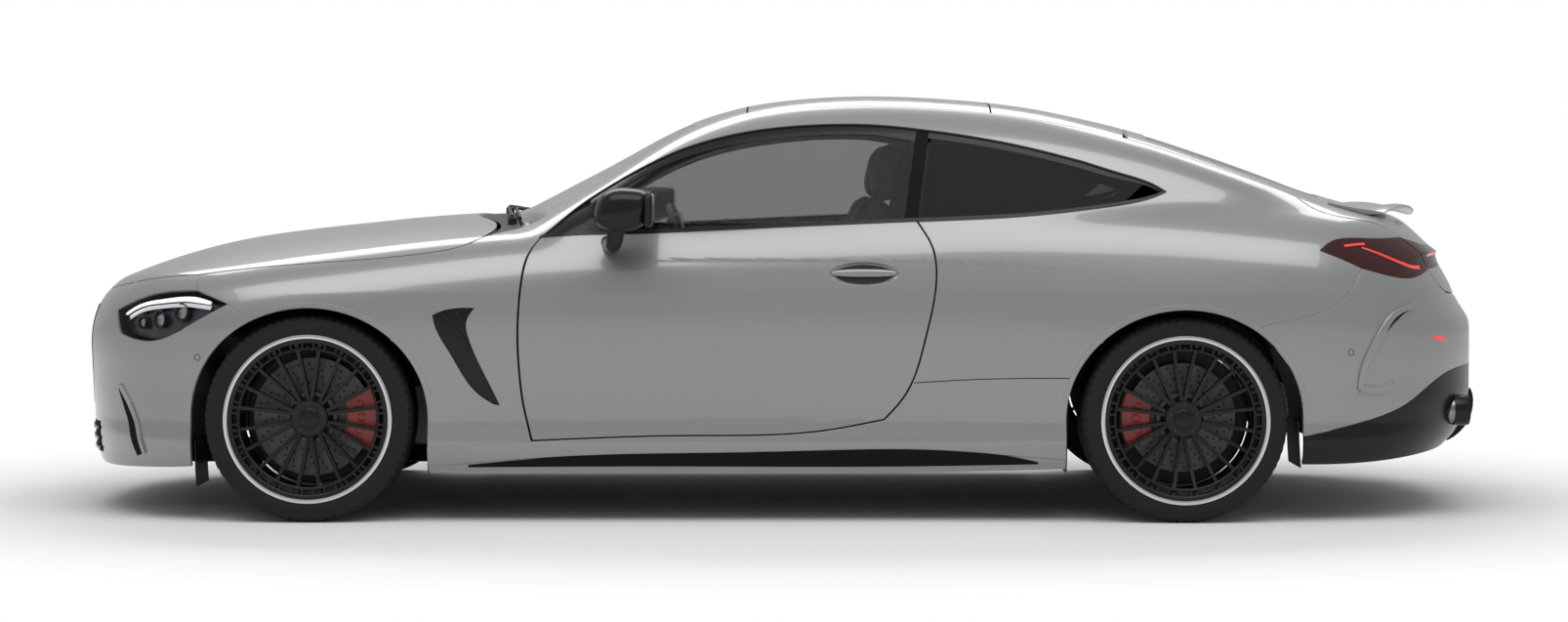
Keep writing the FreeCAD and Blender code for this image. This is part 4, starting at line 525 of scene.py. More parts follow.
def strip_grid(line, a, b):
    """A strip of the form beside a line, between two distances to its side."""
    line = np.array(line, float)
    sideways = across_line(line)
    a, b = (np.broadcast_to(np.asarray(v, float), len(line))[:, None] for v in (a, b))
    return np.stack([seat(line + sideways * (a + (b - a) * t)) for t in np.linspace(0, 1, 4)],
                    axis=1)


def along_line(line, *places):
    """A value for each point of a line, from (share of its points, value) pairs."""
    shares, values = zip(*places)
    return np.interp(np.linspace(0, 1, len(line)), shares, values)


def trim(name, line, a, b, material, body="body", lift=0.8, depth=2.0, hem=0.6):
    """A raised strip that follows a line on the form."""
    return shell(name, [strip_grid(line, a, b)], material, body, hem=hem, depth=depth, recess=-lift)


def grid_mesh(grid, closed_u=False, closed_v=False):
    """Points and quads of one grid [u, v] that may close on itself."""
    columns, rows = grid.shape[:2]
    faces = []
    for i in range(columns if closed_u else columns - 1):
        for j in range(rows if closed_v else rows - 1):
            i2, j2 = (i + 1) % columns, (j + 1) % rows
            faces.append((i * rows + j, i2 * rows + j, i2 * rows + j2, i * rows + j2))
    return list(grid.reshape(-1, 3)), faces


def solid_mesh(name, parts, material, body="body", sharp=35):
    """One object from (points, faces) parts, with its sides turned outwards."""
    points, faces = [], []
    for part_points, part_faces in parts:
        base = len(points)
        points += list(part_points)
        faces += [tuple(base + v for v in face) for face in part_faces]
    piece = make_object(name, np.array(points), faces, material, body)
    work = bmesh.new()
    work.from_mesh(piece.data)
    bmesh.ops.recalc_face_normals(work, faces=work.faces)
    work.to_mesh(piece.data)
    work.free()
    piece.data.set_sharp_from_angle(angle=math.radians(sharp))
    piece["sharp"] = float(sharp)
    return piece


def turned(centre, axis, profile, segments, start=0.0, sweep=360.0, notch=None):
    """A closed profile of (distance along the axis, radius) turned round the axis."""
    axis = unit(np.array(axis, float))
    side = unit(np.cross(axis, [0.0, 0.0, 1.0] if abs(axis[2]) < 0.9 else [0.0, 1.0, 0.0]))
    up = np.cross(side, axis)
    full = sweep >= 360
    angles = np.radians(start + sweep * np.arange(segments + (not full)) / segments)
    grid = np.zeros((len(angles), len(profile), 3))
    for i, angle in enumerate(angles):
        for j, (along, radius) in enumerate(profile):
            cut = notch(i, j) if notch else 0.0
            grid[i, j] = (np.array(centre) + axis * along
                          + (side * math.sin(angle) + up * math.cos(angle)) * (radius - cut))
    points, faces = grid_mesh(grid, closed_u=full, closed_v=True)
    if not full:
        last = (len(angles) - 1) * len(profile)
        faces += [tuple(range(len(profile))), tuple(range(last, last + len(profile)))]
    return points, faces


def tube(path, radii, sides=10):
    """A round bar along a path, closed at its ends."""
    path = np.array(path, float)
    along = unit(heading(path))
    side = unit(np.cross(along, [0.0, 0.0, 1.0]) + 1e-6)
    up = np.cross(side, along)
    turn = np.linspace(0, 2 * math.pi, sides, endpoint=False)
    radii = np.broadcast_to(radii, len(path))
    grid = np.stack([path + (side * math.cos(t) + up * math.sin(t)) * radii[:, None] for t in turn],
                    axis=1)
    points, faces = grid_mesh(grid, closed_v=True)
    last = (len(path) - 1) * sides
    return points, faces + [tuple(range(sides)), tuple(range(last, last + sides))]


def slab_between(first, second):
    """A closed body between two grids of the same size."""
    a, faces = grid_mesh(first)
    b = list(second.reshape(-1, 3))
    columns, rows = first.shape[:2]
    base = len(a)
    faces = faces + [tuple(base + v for v in face) for face in faces]
    rim = ([i * rows for i in range(columns)] + [(columns - 1) * rows + j for j in range(1, rows)]
           + [i * rows + rows - 1 for i in range(columns - 2, -1, -1)] + list(range(rows - 2, 0, -1)))
    faces += [(p, q, base + q, base + p) for p, q in zip(rim, rim[1:] + rim[:1])]
    return a + b, faces


def pillow(centre, half, tilt=0.0, round_off=0.42, turn=0.0, rings=20):
    """A rounded cushion block, tilted back about the car's width."""
    u = np.linspace(-math.pi, math.pi, 2 * rings, endpoint=False)
    v = np.linspace(-math.pi / 2, math.pi / 2, rings + 1)[1:-1]

    def power(value):
        return np.sign(value) * np.abs(value) ** round_off

    grid = np.zeros((len(u), len(v), 3))
    grid[..., 0] = power(np.cos(u))[:, None] * power(np.cos(v))[None] * half[0]
    grid[..., 1] = power(np.sin(u))[:, None] * power(np.cos(v))[None] * half[1]
    grid[..., 2] = power(np.sin(v))[None] * half[2] * np.ones(len(u))[:, None]
    a, c = math.radians(tilt), math.radians(turn)
    x, y, z = (grid[..., k].copy() for k in range(3))
    x, y = x * math.cos(c) - y * math.sin(c), x * math.sin(c) + y * math.cos(c)
    grid[..., 0], grid[..., 1] = x * math.cos(a) + z * math.sin(a), y
    grid[..., 2] = z * math.cos(a) - x * math.sin(a)
    grid += np.array(centre)
    points, faces = grid_mesh(grid, closed_u=True)
    rows = len(v)
    faces += [tuple(i * rows for i in range(len(u))),
              tuple(i * rows + rows - 1 for i in range(len(u)))]
    return points, faces


# Materials
def finish(name, color, roughness, grain=None, metallic=0.0, relief=None, stretch=(1, 1, 1), **sockets):
    """A material whose grain (scale, lowest and highest roughness, second colour) follows a noise.

    A relief (strength, depth in metres) also lets the noise raise the surface.
    """
    material = bpy.data.materials.new(name)
    material.use_nodes = True
    tree = material.node_tree
    principled = tree.nodes["Principled BSDF"]
    principled.inputs["Base Color"].default_value = (*color, 1)
    principled.inputs["Roughness"].default_value = roughness
    principled.inputs["Metallic"].default_value = metallic
    for key, value in sockets.items():
        principled.inputs[key.replace("_", " ")].default_value = value
    if not grain:
        return material
    scale, low, high, second = grain
    place = tree.nodes.new("ShaderNodeTexCoord")
    mapping = tree.nodes.new("ShaderNodeMapping")
    mapping.inputs["Scale"].default_value = stretch
    noise = tree.nodes.new("ShaderNodeTexNoise")
    noise.inputs["Scale"].default_value = scale
    noise.inputs["Detail"].default_value = 4.0
    tree.links.new(place.outputs["Object"], mapping.inputs["Vector"])
    tree.links.new(mapping.outputs["Vector"], noise.inputs["Vector"])
    ramp = tree.nodes.new("ShaderNodeMapRange")
    ramp.inputs["To Min"].default_value = low
    ramp.inputs["To Max"].default_value = high
    tree.links.new(noise.outputs["Fac"], ramp.inputs["Value"])
    tree.links.new(ramp.outputs["Result"], principled.inputs["Roughness"])
    mix = tree.nodes.new("ShaderNodeMix")
    mix.data_type = "RGBA"
    mix.inputs[6].default_value = (*color, 1)
    mix.inputs[7].default_value = (*second, 1)
    tree.links.new(noise.outputs["Fac"], mix.inputs[0])
    tree.links.new(mix.outputs[2], principled.inputs["Base Color"])
    if relief:
        raised = tree.nodes.new("ShaderNodeBump")
        raised.inputs["Strength"].default_value, raised.inputs["Distance"].default_value = relief
        tree.links.new(noise.outputs["Fac"], raised.inputs["Height"])
        tree.links.new(raised.outputs["Normal"], principled.inputs["Normal"])
    return material


def glazing(name, color, index):
    return finish(name, color, 0.02, Transmission_Weight=1.0, IOR=index)


paint = finish("paint", (0.285, 0.288, 0.292), 0.32, (1400, 0.28, 0.36, (0.31, 0.313, 0.318)),
               metallic=0.35, Coat_Weight=1.0, Coat_Roughness=0.02)
gloss_black = finish("gloss_black", (0.006, 0.006, 0.007), 0.22, (60, 0.18, 0.28, (0.01, 0.01, 0.011)),
                     Specular_IOR_Level=0.3)
satin_black = finish("satin_black", (0.01, 0.01, 0.011), 0.5, (900, 0.4, 0.55, (0.02, 0.02, 0.021)),
                     relief=(0.15, 0.0006), Specular_IOR_Level=0.25)
# Dead black for dark joints and black trim. It is also the painted shade of the air slot, the lower
# intake and the disc's drilled holes, which are flat dark marks, not openings.
seam_and_shade_black = finish("seam_and_shade_black", (0.006, 0.006, 0.006), 0.8, (300, 0.7, 0.9, (0.012, 0.012, 0.012)),
                    Specular_IOR_Level=0.1)
tinted_glass = glazing("tinted_glass", (0.38, 0.385, 0.385), 1.2)
privacy_glass = glazing("privacy_glass", (0.028, 0.029, 0.03), 1.2)
screen_glass = glazing("screen_glass", (0.7, 0.72, 0.72), 1.2)
lamp_clear = glazing("lamp_clear", (0.9, 0.91, 0.92), 1.15)
leather = finish("leather", (0.045, 0.045, 0.048), 0.5, (260, 0.42, 0.6, (0.07, 0.07, 0.073)),
                 relief=(0.35, 0.0012))
interior_black = finish("interior_black", (0.02, 0.02, 0.021), 0.6, (700, 0.5, 0.7, (0.03, 0.03, 0.031)),
                        relief=(0.3, 0.0006))
underside = finish("underside", (0.02, 0.02, 0.022), 0.7, (40, 0.6, 0.85, (0.035, 0.035, 0.035)),
                   relief=(0.2, 0.001))
rubber = finish("rubber", (0.011, 0.011, 0.012), 0.7, (120, 0.6, 0.8, (0.018, 0.018, 0.019)),
                relief=(0.15, 0.0008), Specular_IOR_Level=0.25)
rim_black = finish("rim_black", (0.007, 0.007, 0.008), 0.35, (90, 0.28, 0.42, (0.012, 0.012, 0.013)),
                   Specular_IOR_Level=0.35)
machined = finish("machined", (0.75, 0.76, 0.77), 0.18, (220, 0.12, 0.26, (0.66, 0.67, 0.68)),
                  metallic=1.0, stretch=(1, 12, 1))
cast_disc = finish("cast_disc", (0.13, 0.13, 0.135), 0.38, (160, 0.3, 0.48, (0.09, 0.09, 0.095)),
                   metallic=0.9)
caliper_red = finish("caliper_red", (0.66, 0.05, 0.04), 0.3, (80, 0.25, 0.4, (0.58, 0.04, 0.035)),
                     Coat_Weight=0.5, Coat_Roughness=0.1)
cast_metal = finish("cast_metal", (0.3, 0.3, 0.31), 0.5, (240, 0.42, 0.62, (0.22, 0.22, 0.23)),
                    metallic=0.8, relief=(0.25, 0.0008))
dark_steel = finish("dark_steel", (0.03, 0.03, 0.032), 0.5, (120, 0.4, 0.6, (0.05, 0.05, 0.05)),
                    metallic=0.5, relief=(0.15, 0.0008))
exhaust_metal = finish("exhaust_metal", (0.35, 0.34, 0.33), 0.25, (120, 0.2, 0.35, (0.25, 0.24, 0.23)),
                       metallic=1.0, stretch=(8, 1, 1))
lamp_smoked = finish("lamp_smoked", (0.035, 0.008, 0.008), 0.12, (400, 0.08, 0.16, (0.06, 0.01, 0.01)),
                     Specular_IOR_Level=0.35)
lamp_dark = finish("lamp_dark", (0.03, 0.03, 0.032), 0.25, (300, 0.2, 0.35, (0.05, 0.05, 0.052)),
                   metallic=0.6)
lamp_chrome = finish("lamp_chrome", (0.7, 0.71, 0.72), 0.08, (300, 0.06, 0.12, (0.6, 0.61, 0.62)),
                     metallic=1.0)
lamp_lens = finish("lamp_lens", (0.22, 0.23, 0.24), 0.05, (300, 0.04, 0.08, (0.18, 0.19, 0.2)),
                   metallic=0.6)
light_bar = finish("light_bar", (0.85, 0.86, 0.88), 0.3, (200, 0.25, 0.35, (0.9, 0.9, 0.92)),
                   Emission_Color=(1, 1, 1, 1), Emission_Strength=0.55)
red_bar = finish("red_bar", (0.75, 0.04, 0.03), 0.25, (200, 0.2, 0.3, (0.7, 0.03, 0.025)),
                 Emission_Color=(1, 0.06, 0.04, 1), Emission_Strength=0.35, Coat_Weight=1.0,
                 Coat_Roughness=0.03)

# Seams of the body's left side
wing_sill_corner = side_point(-829, 266)
belt_front = side_point(-809, 933)
lamp_top = side_point(-1935, 760)
lamp_tip = side_point(-1824, 717)
bonnet_split = side_point(-1946, 807)
cowl_corner = side_point(-993, 936)
bonnet_nose = side_point(-2185, 778)
lamp_nose = side_point(-2233, 687)
lamp_low = side_point(-2215, 612)
front_arch_joint = arch_point(FA, FR, 61)
front_arch_rear_foot = below_arch(FA, FR, 1, 245)
front_arch_front_foot = below_arch(FA, FR, -1, 178)
rear_arch_front_foot = below_arch(RA, RR, -1, 205)
rear_arch_rear_foot = below_arch(RA, RR, 1, 283)
rear_joint = arch_point(RA, RR, 124)

sill_front = run([front_arch_rear_foot, wing_sill_corner], 6)
door_front = run([wing_sill_corner, (-858, 384), (-872, 500), (-876, 650), (-866, 780), (-845, 880),
                  belt_front], 9)
door_corner = side_point(330, 335)
door_bottom = run([wing_sill_corner, (-330, 283), (150, 302), door_corner], 9)
belt_rear = side_point(442, 988)
door_rear = run([door_corner, (400, 417), (464, 594), (496, 740), (503, 820), (492, 900), belt_rear], 9)
door_belt = run([belt_front, (-429, 950), (-10, 969), belt_rear], 9)
bonnet_side = run([bonnet_split, (-1789, 827), (-1576, 846), (-1204, 878), (-1046, 911),
                   cowl_corner], 9)
pillar_foot = run([cowl_corner, belt_front], 3)
arch_to_lamp = run([front_arch_joint, lamp_tip], 3)
lamp_end = run([lamp_tip, lamp_top], 3)
wing_front = join(arch_to_lamp, lamp_end, run([lamp_top, bonnet_split], 2))
window_tip = side_point(1275, 1085)
pillar_top = side_point(490, 1290)
gate_corner = plan_point(1150, -560)
roof_corner = plan_point(-310, -480)
screen_corner = plan_point(-880, -655)
gate_side_end = side_point(1723, 1071)
gate_lamp_top = side_point(2066, 930)
lamp_rear_tip = side_point(1764, 891)
lamp_rear_low = side_point(1904, 832)
gate_lamp_low = side_point(2170, 822)
gate_low = side_point(2245, 742)
sill_low = run([below_arch(FA, FR, 1, 180)] + side_line((-820, 210), (-200, 228), (330, 238)), 12)
quarter_low = run([sill_low[-1], (749, 218), rear_arch_front_foot], 6)

window_low = run([belt_rear, (800, 1005), (1060, 1033), (1240, 1070), window_tip], 11)
window_a = run([belt_front] + side_line((-660, 1055), (-500, 1153), (-340, 1229)), 6)
window_b1 = run([window_a[-1], (-170, 1277), (0, 1302), (160, 1311), (320, 1308), pillar_top], 9)
window_b2 = run([pillar_top] + side_line((800, 1237), (1000, 1186)), 6)
window_b = join(window_b1, window_b2)
window_c = run([window_b[-1], (1130, 1145), (1240, 1106), window_tip], 5)
pillar_line = run([belt_rear, pillar_top], 5)

# Front wings
arch_top = arch(FA, FR, 61, 135, 11)
arch_leg = leg(front_arch_rear_foot, FA, FR, 135, 9)
lines = [sill_front, door_front, pillar_foot[::-1], bonnet_side[::-1], wing_front[::-1],
         arch_top, arch_leg[::-1]]
low, rear, foot, top, front, over, down = loop_inset(
    lines, [JOINT + HEM, HEM, 1.8 + HEM, HEM, JOINT + HEM, HEM, HEM])
split = run([over[-1], rear[-1]], 6)
vent = [run([(-954, 385), (-929, 381)], 3),
        run([(-929, 381), (-970, 465), (-1033, 610), (-1039, 658), (-1010, 706)], 7),
        run([(-1010, 706), (-1112, 699), (-1154, 683)], 4),
        run([(-1154, 683), (-1144, 642), (-1097, 555), (-1002, 417), (-954, 385)], 7)]
wing = shell("front_wing_left", [coons(over, split, join(top[::-1], foot[::-1]), front[::-1])]
             + ring_patches([low, rear, split[::-1], down], vent), paint, depth=12)
replace_all(both(wing), "front_wings")
floor_lines = [resample(line, count) for line, count in zip(vent, (7, 19, 7, 19))]
vent_floor = coons(floor_lines[0], floor_lines[1], floor_lines[2][::-1], floor_lines[3][::-1])
both(shell("wing_vent_left", [vent_floor], gloss_black, hem=3, depth=18, recess=11, inner=True))
for k, (a, b) in enumerate((((-1122, 690), (-938, 384)), ((-1076, 697), (-934, 392)))):
    blade = run(side_line(a, (a[0] * 0.4 + b[0] * 0.6 + 22, a[1] * 0.4 + b[1] * 0.6), b), 8)
    both(trim("vent_blade_%d_left" % k, blade, -2.5, 2.5, satin_black, lift=-3, depth=12))

# Body sides: sill, quarter, pillars and the rail over the door
arch_leg = leg(rear_arch_front_foot, RA, RR, 45, 11)
arch_top = arch(RA, RR, 45, 124, 11)
bumper_seam = run([rear_joint, (1617, 656), (1780, 699), (1847, 745), (1880, 795), lamp_rear_low], 6)
lamp_front = run([lamp_rear_low, lamp_rear_tip], 6)
lamp_upper = run([lamp_rear_tip, (1809, 921), (1950, 929), gate_lamp_top], 6)
gate_rear = run([gate_lamp_top, (2050, 945), (2010, 967), (1950, 985), (1853, 1001), (1775, 1028),
                 gate_side_end], 6)
gate_side = run([gate_side_end] + plan_line((1450, -590)) + [gate_corner], 6)
rail = run([gate_corner] + plan_line((800, -552), (400, -532), (0, -514)) + [roof_corner], 10)
screen = run([roof_corner] + plan_line((-600, -578)) + [screen_corner], 7)
cowl_end = run([screen_corner, cowl_corner], 3)
outer = [sill_low, quarter_low, arch_leg, arch_top, bumper_seam, lamp_front, lamp_upper,
         gate_rear, gate_side, rail, screen, cowl_end, pillar_foot]
(low, low_rear, up_arch, over_arch, seam, lamp_a, lamp_b, rear_seam, side_seam, rail_seam,
 screen_seam, cowl_seam) = open_inset(outer[:12], [HEM] * 4 + [SEAM] * 3 + [HEM] * 2 + [SEAM] * 3)
# The window opening and the door opening keep their own hem
opening = loop_inset([door_bottom[::-1], door_front, join(window_a, window_b, window_c),
                      window_low[::-1], door_rear[::-1]], [HEM] * 5)
bottom_edge, _, window_top, window_base, rear_edge = opening
d_bottom, d_rear = bottom_edge[::-1], rear_edge[::-1]
na, nb = len(window_a), len(window_b)
w_a, w_b, w_c = window_top[:na], window_top[na - 1:na + nb - 1], window_top[na + nb - 2:]
w_low = window_base[::-1]
tip = window_top[-1]
q1_left = join(run([low[-1], d_bottom[-1]], 3), d_rear)
q1_top = run([d_rear[-1], over_arch[0]], 6)
q1 = coons(low_rear, up_arch, q1_top, q1_left)
sill_top = join(run([seat_side(np.array([low[0][0], 0, 245.0])), d_bottom[0]], 4), d_bottom)
sill = coons(low, q1_left[:2 * FINE + 1], sill_top, run([low[0], sill_top[0]], 3))
q2_right = run([over_arch[-1], tip], 6)
q2 = coons(over_arch, q2_right, w_low, q1_top[::-1])
tip_to_lamp = run([tip, lamp_a[-1]], 6)
q3 = coons(seam, lamp_a, tip_to_lamp, q2_right)
tip_to_gate = run([tip, rear_seam[-1]], 6)
q4 = coons(lamp_b, rear_seam, tip_to_gate, tip_to_lamp[::-1])
upper_top = join(cowl_seam[::-1], screen_seam[::-1], rail_seam[::-1], side_seam[::-1])
foot = run([w_a[0], cowl_seam[-1]], 6)
upper = coons(join(w_a, w_b, w_c), tip_to_gate, upper_top, foot)
side_body = shell("body_side_left", [sill, q1, q2, q3, q4, upper], paint, depth=30, inner=True,
                  lining=interior_black)
replace_all(both(side_body), "body_sides")


def top_panel(left, back, front, gaps):
    """A panel across the car, between a left-hand line and its mirror image."""
    return inset_grid(left, back, mirrored(left), front, gaps)


screen_top = across([roof_corner, (-318, -250), (-323, 0)], 9)
screen_foot = [screen_corner, (-925, -350), (-938, 0)]
screen_side = run([screen_corner] + plan_line((-600, -578)) + [roof_corner], 7)
roof_side = run([roof_corner] + plan_line((0, -514), (400, -532), (800, -552)) + [gate_corner], 10)
roof_rear = across([gate_corner, (1172, -300), (1180, 0)], 9)
cowl_side = run([cowl_corner, screen_corner], 3)
bonnet_rear = across([cowl_corner, (-962, -650), (-960, -560), (-1035, -300), (-1065, 0)], 15)
bonnet_lip = [bonnet_nose, (-2290, -480), (-2352, -250), (-2372, 0)]
bonnet_strip = run([bonnet_nose, side_point(-2064, 798), bonnet_split], 5)

roof = shell("roof", [top_panel(roof_side, roof_rear, screen_top, [SEAM] * 4)], paint, depth=20,
             inner=True, lining=interior_black)
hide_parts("roof")

screen_grid = top_panel(screen_side, screen_top, across(screen_foot, 9), [JOINT + 0.5] * 4)
windscreen = shell("windscreen", [screen_grid], screen_glass, hem=0.5, depth=5, recess=2, inner=True)
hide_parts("windscreen")

cowl_grid = top_panel(cowl_side, across(screen_foot, 15), bonnet_rear, [JOINT + 1] * 3 + [1])
cowl = shell("cowl", [cowl_grid], satin_black, hem=1, depth=7, recess=5)
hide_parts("cowl")

bonnet_grid = top_panel(join(bonnet_strip, bonnet_side), bonnet_rear, across(bonnet_lip, 15),
                        [SHUT_GAP + HEM, REAR_GAP + HEM, SHUT_GAP + HEM, SHUT_GAP + HEM])
bonnet = shell("bonnet", [bonnet_grid], paint, "bonnet", depth=16, inner=True, lining=satin_black)
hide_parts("bonnet")

# Doors
HANDLE_X, HANDLE_Z, HANDLE_A, HANDLE_B = 263.0, 816.0, 115.5, 39.5


def handle_oval(degrees, share=1.0):
    turn = np.radians(degrees)
    return side_point(HANDLE_X + HANDLE_A * share * math.cos(turn),
                      HANDLE_Z + HANDLE_B * share * math.sin(turn))


door_loop = loop_inset([door_bottom, door_rear, door_belt[::-1], door_front[::-1]],
                       [SHUT_GAP + HEM, SHUT_GAP + HEM, HEM, HINGE_GAP + HEM])
oval = [[handle_oval(225 + 90 * k + 90 * i / 18) for i in range(19)] for k in range(4)]
door = shell("door_skin_left", ring_patches(door_loop, oval), paint, "door_left", depth=12,
             inner=True, lining=interior_black)
replace_each(both(door), "door")
card_grid = inset_grid(door_bottom, door_rear, door_belt, door_front,
                       [SHUT_GAP + 32, SHUT_GAP + 32, 6, HINGE_GAP + 94])
both(shell("door_card_left", [card_grid], interior_black, "door_left", hem=6, depth=95, recess=13,
           inner=True))
dish = np.array([[handle_oval(7.5 * i, 1.015 - t) for t in (0, 0.08, 0.2, 0.35, 0.5, 0.65, 0.8, 0.93)]
                 for i in range(48)])
depths = np.array([2.5, 8, 13, 16.5, 18.5, 19.5, 20, 20])
dish = dish - normal(dish) * depths[None, :, None]
points, faces = grid_mesh(dish, closed_u=True)
faces.append(tuple(i * 8 + 7 for i in range(48)))
both(solid_mesh("handle_dish_left", [(points, faces)], paint, "door_left"))
bar = np.zeros((25, 16, 3))
for i, t in enumerate(np.linspace(-1, 1, 25)):
    place = side_point(HANDLE_X + 108 * t, HANDLE_Z + 3)
    out = normal(place)
    up = unit(np.cross(np.array([1.0, 0, 0]), out))
    slim = 1 - abs(t) ** 3.2 * 0.55
    for j in range(16):
        turn = 2 * math.pi * j / 16
        bar[i, j] = (place + up * 13 * slim * math.cos(turn)
                     + out * (5 * slim * math.sin(turn) - 3 - 5 * t * t))
points, faces = grid_mesh(bar, closed_v=True)
faces += [tuple(range(16)), tuple(range(384, 400))]
both(solid_mesh("handle_bar_left", [(points, faces)], paint, "door_left", 60))
both(solid_mesh("hinge_knuckles_left", [
    turned((-800, -893.8, z), (0, 0, 1), [(-16, 5.4), (-16, 9.3), (16, 9.3), (16, 5.4)], 20)
    for z in (450.0, 655.0)], dark_steel, "door_left"))


def side_glass(name, front, rear, low, top, gaps, material, body):
    piece = shell(name, [inset_grid(low, rear, top, front, gaps)], material, body, hem=0.5, depth=5,
                  recess=4, inner=True)
    return both(piece)


low = door_belt[FINE:]
front = run([low[0], window_a[2 * FINE]], 5)
top = run([front[-1], (-500, 1153), (-340, 1229), (-170, 1277), (0, 1302), (160, 1311), (320, 1308),
           pillar_top], (len(low) - 1) // FINE + 1)
replace_each(side_glass("door_glass_left", front, pillar_line, low, top, [0.8, 9, 5, 0], tinted_glass,
                        "door_left"), "door_glass")
low = window_low[:-2 * FINE]
top = smooth_line(join(window_b2, window_c[:-FINE]), len(low))
top = [seat(p)[0] for p in top]
rear = run([low[-1], top[-1]], 5)
replace_all(side_glass("quarter_glass_left", pillar_line, rear, low, top, [0.8, 0, 0.8, 9],
                       privacy_glass, "body"), "quarter_glass")

# Black borders of the side windows, the belt strip and the pillar behind the glass
door_top = join(window_a[2 * FINE:], window_b1)
frit_width = along_line(door_top, (0, 58), (0.2, 50), (0.85, 46), (1, 58))
both(trim("glass_border_left", door_top, -6, -frit_width, gloss_black, "door_left", lift=-3.2, depth=5,
          hem=0.3))
both(trim("glass_rear_border_left", resample(pillar_line, 25), 2, 44, seam_and_shade_black, "door_left",
          lift=-3.1, depth=5, hem=0.3))
both(trim("belt_strip_left", door_belt, -3, 11, gloss_black, "door_left", lift=1.2, depth=8))
quarter_top = join(window_b2, window_c)
both(trim("quarter_border_left", quarter_top, -1, along_line(quarter_top, (0, -34), (0.7, -26), (1, -8)),
          gloss_black, lift=-3.2, depth=5, hem=0.3))
both(trim("quarter_strip_left", window_low, -4, along_line(window_low, (0, 11), (0.85, 11), (1, 4)),
          gloss_black, lift=1.2, depth=8))
both(trim("pillar_trim_left", resample(pillar_line, 25), -24, 30, satin_black, lift=-16, depth=24))
both(trim("window_seal_left", join(window_a, window_b, window_c), -4.5, 1.0, satin_black, lift=0.7,
          depth=4))

# Tailgate, its glass and lamps
tail_corner = side_point(2008, 968)
tail_edge = across([tail_corner, rear_point(-520, 956), rear_point(-250, 952), rear_point(0, 952)], 13)
gate_lamp_upper = across([gate_lamp_top, rear_point(-560, 908), rear_point(-300, 903),
                          rear_point(0, 900)], 13)
gate_lamp_lower = across([gate_lamp_low, rear_point(-560, 824), rear_point(-300, 832),
                          rear_point(0, 835)], 13)
gate_bottom = across([gate_low, rear_point(-420, 730), rear_point(0, 724)], 13)
window_front_corner = plan_point(1235, -490)
window_rear_corner = plan_point(1838, -440)
window_front = across([window_front_corner, (1250, -250), (1255, 0)], 9)
window_side = run([window_front_corner] + plan_line((1600, -505)) + [window_rear_corner], 8)
window_rear = across([window_rear_corner, (1866, -250), (1874, 0)], 9)


def refit(line, corner):
    return [corner] + list(line[1:-1]) + mirrored([corner])


gate_lamp_edge = run([gate_lamp_top, side_point(2125, 888), gate_lamp_low], 4)
gate_low_edge = run([gate_lamp_low, side_point(2204, 776), gate_low], 3)


def gate_lines(extra):
    """The loop of the tailgate's edges, moved in by its gaps and an extra."""
    side = run([gate_corner] + plan_line((1450, -590)) + [gate_side_end], 8)
    deck = run([gate_side_end, (1775, 1028), (1853, 1001), (1950, 985), tail_corner], 5)
    corner = run([tail_corner, side_point(2040, 950), gate_lamp_top], 3)
    half = [side, deck, corner, gate_lamp_edge, gate_low_edge]
    loop = half + [gate_bottom] + [mirrored(line)[::-1] for line in reversed(half)] + [roof_rear[::-1]]
    return loop_inset(loop, [SHUT_GAP + extra] * (len(loop) - 1) + [GATE_GAP + extra])


moved = gate_lines(HEM)
side, deck, corner, lamp, low, bottom = moved[:6]
ring_front, _, ring_rear, ring_left = loop_inset(
    [window_front, mirrored(window_side), window_rear[::-1], window_side[::-1]], [-HEM] * 4)
ring_rear, ring_left = ring_rear[::-1], ring_left[::-1]
bridge = run([side[0], ring_left[0]], 3)
rear_bridge = run([side[-1], ring_left[-1]], 3)
strip = coons(moved[-1][::-1], mirrored(bridge), ring_front, bridge)
left = coons(side, rear_bridge, ring_left, bridge)
deck_front = join(rear_bridge, ring_rear, mirrored(rear_bridge)[::-1])
edge = refit(tail_edge, deck[-1])
upper_line = refit(gate_lamp_upper, corner[-1])
lower_line = refit(gate_lamp_lower, lamp[-1])
deck_grid = coons(deck_front, mirrored(deck), edge, deck)
above = coons(edge, mirrored(corner), upper_line, corner)
band = coons(upper_line, mirrored(lamp), lower_line, lamp)
below = coons(lower_line, mirrored(low), bottom, low)
four, eight, rows = 4 * FINE, 8 * FINE, 3 * FINE
gate = shell("tailgate", [strip, left, mirrored_grid(left), deck_grid, above,
                          (band, ((0, four, 0, rows), (eight, 12 * FINE, 0, rows))), below],
             paint, "tailgate", depth=16, inner=True, lining=interior_black)
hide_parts("tailgate")
rear_glass = shell("rear_window", [top_panel(window_side, window_rear, window_front, [1.0] * 4)],
                   privacy_glass, "tailgate", hem=0.5, depth=5, recess=3, inner=True)
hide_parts("rear_window")

lamp_loop = gate_lines(1.5)
upper_half = refit(gate_lamp_upper, lamp_loop[2][-1])[:four + 1]
lower_half = refit(gate_lamp_lower, lamp_loop[3][-1])[:four + 1]
inner_end = run([upper_half[-1], lower_half[-1]], 4)
one, two, three, last = loop_inset([upper_half[::-1], lamp_loop[3], lower_half, inner_end[::-1]],
                                   [1.0, 0, 1.0, 1.0])
gate_lamp = shell("gate_lamp_left", [coons(one[::-1], last[::-1], three, two)], lamp_smoked,
                  "tailgate", hem=1.0, depth=20)
replace_all(both(gate_lamp), "gate_lamps")

# Tail lamps, rear bumper, diffuser
tail_lamp_foot = [lamp_rear_low, (1961, 817), (2067, 797), (2120, 803), gate_lamp_low]
lamp_grid = inset_grid(run(tail_lamp_foot, 6), gate_lamp_edge[::-1], lamp_upper,
                       run([lamp_rear_tip, lamp_rear_low], 4)[::-1], [1.3, 1, 1.3, 1.3])
tail_lamp = shell("tail_lamp_left", [lamp_grid], lamp_smoked, hem=1.0, depth=20)
replace_all(both(tail_lamp), "tail_lamps")

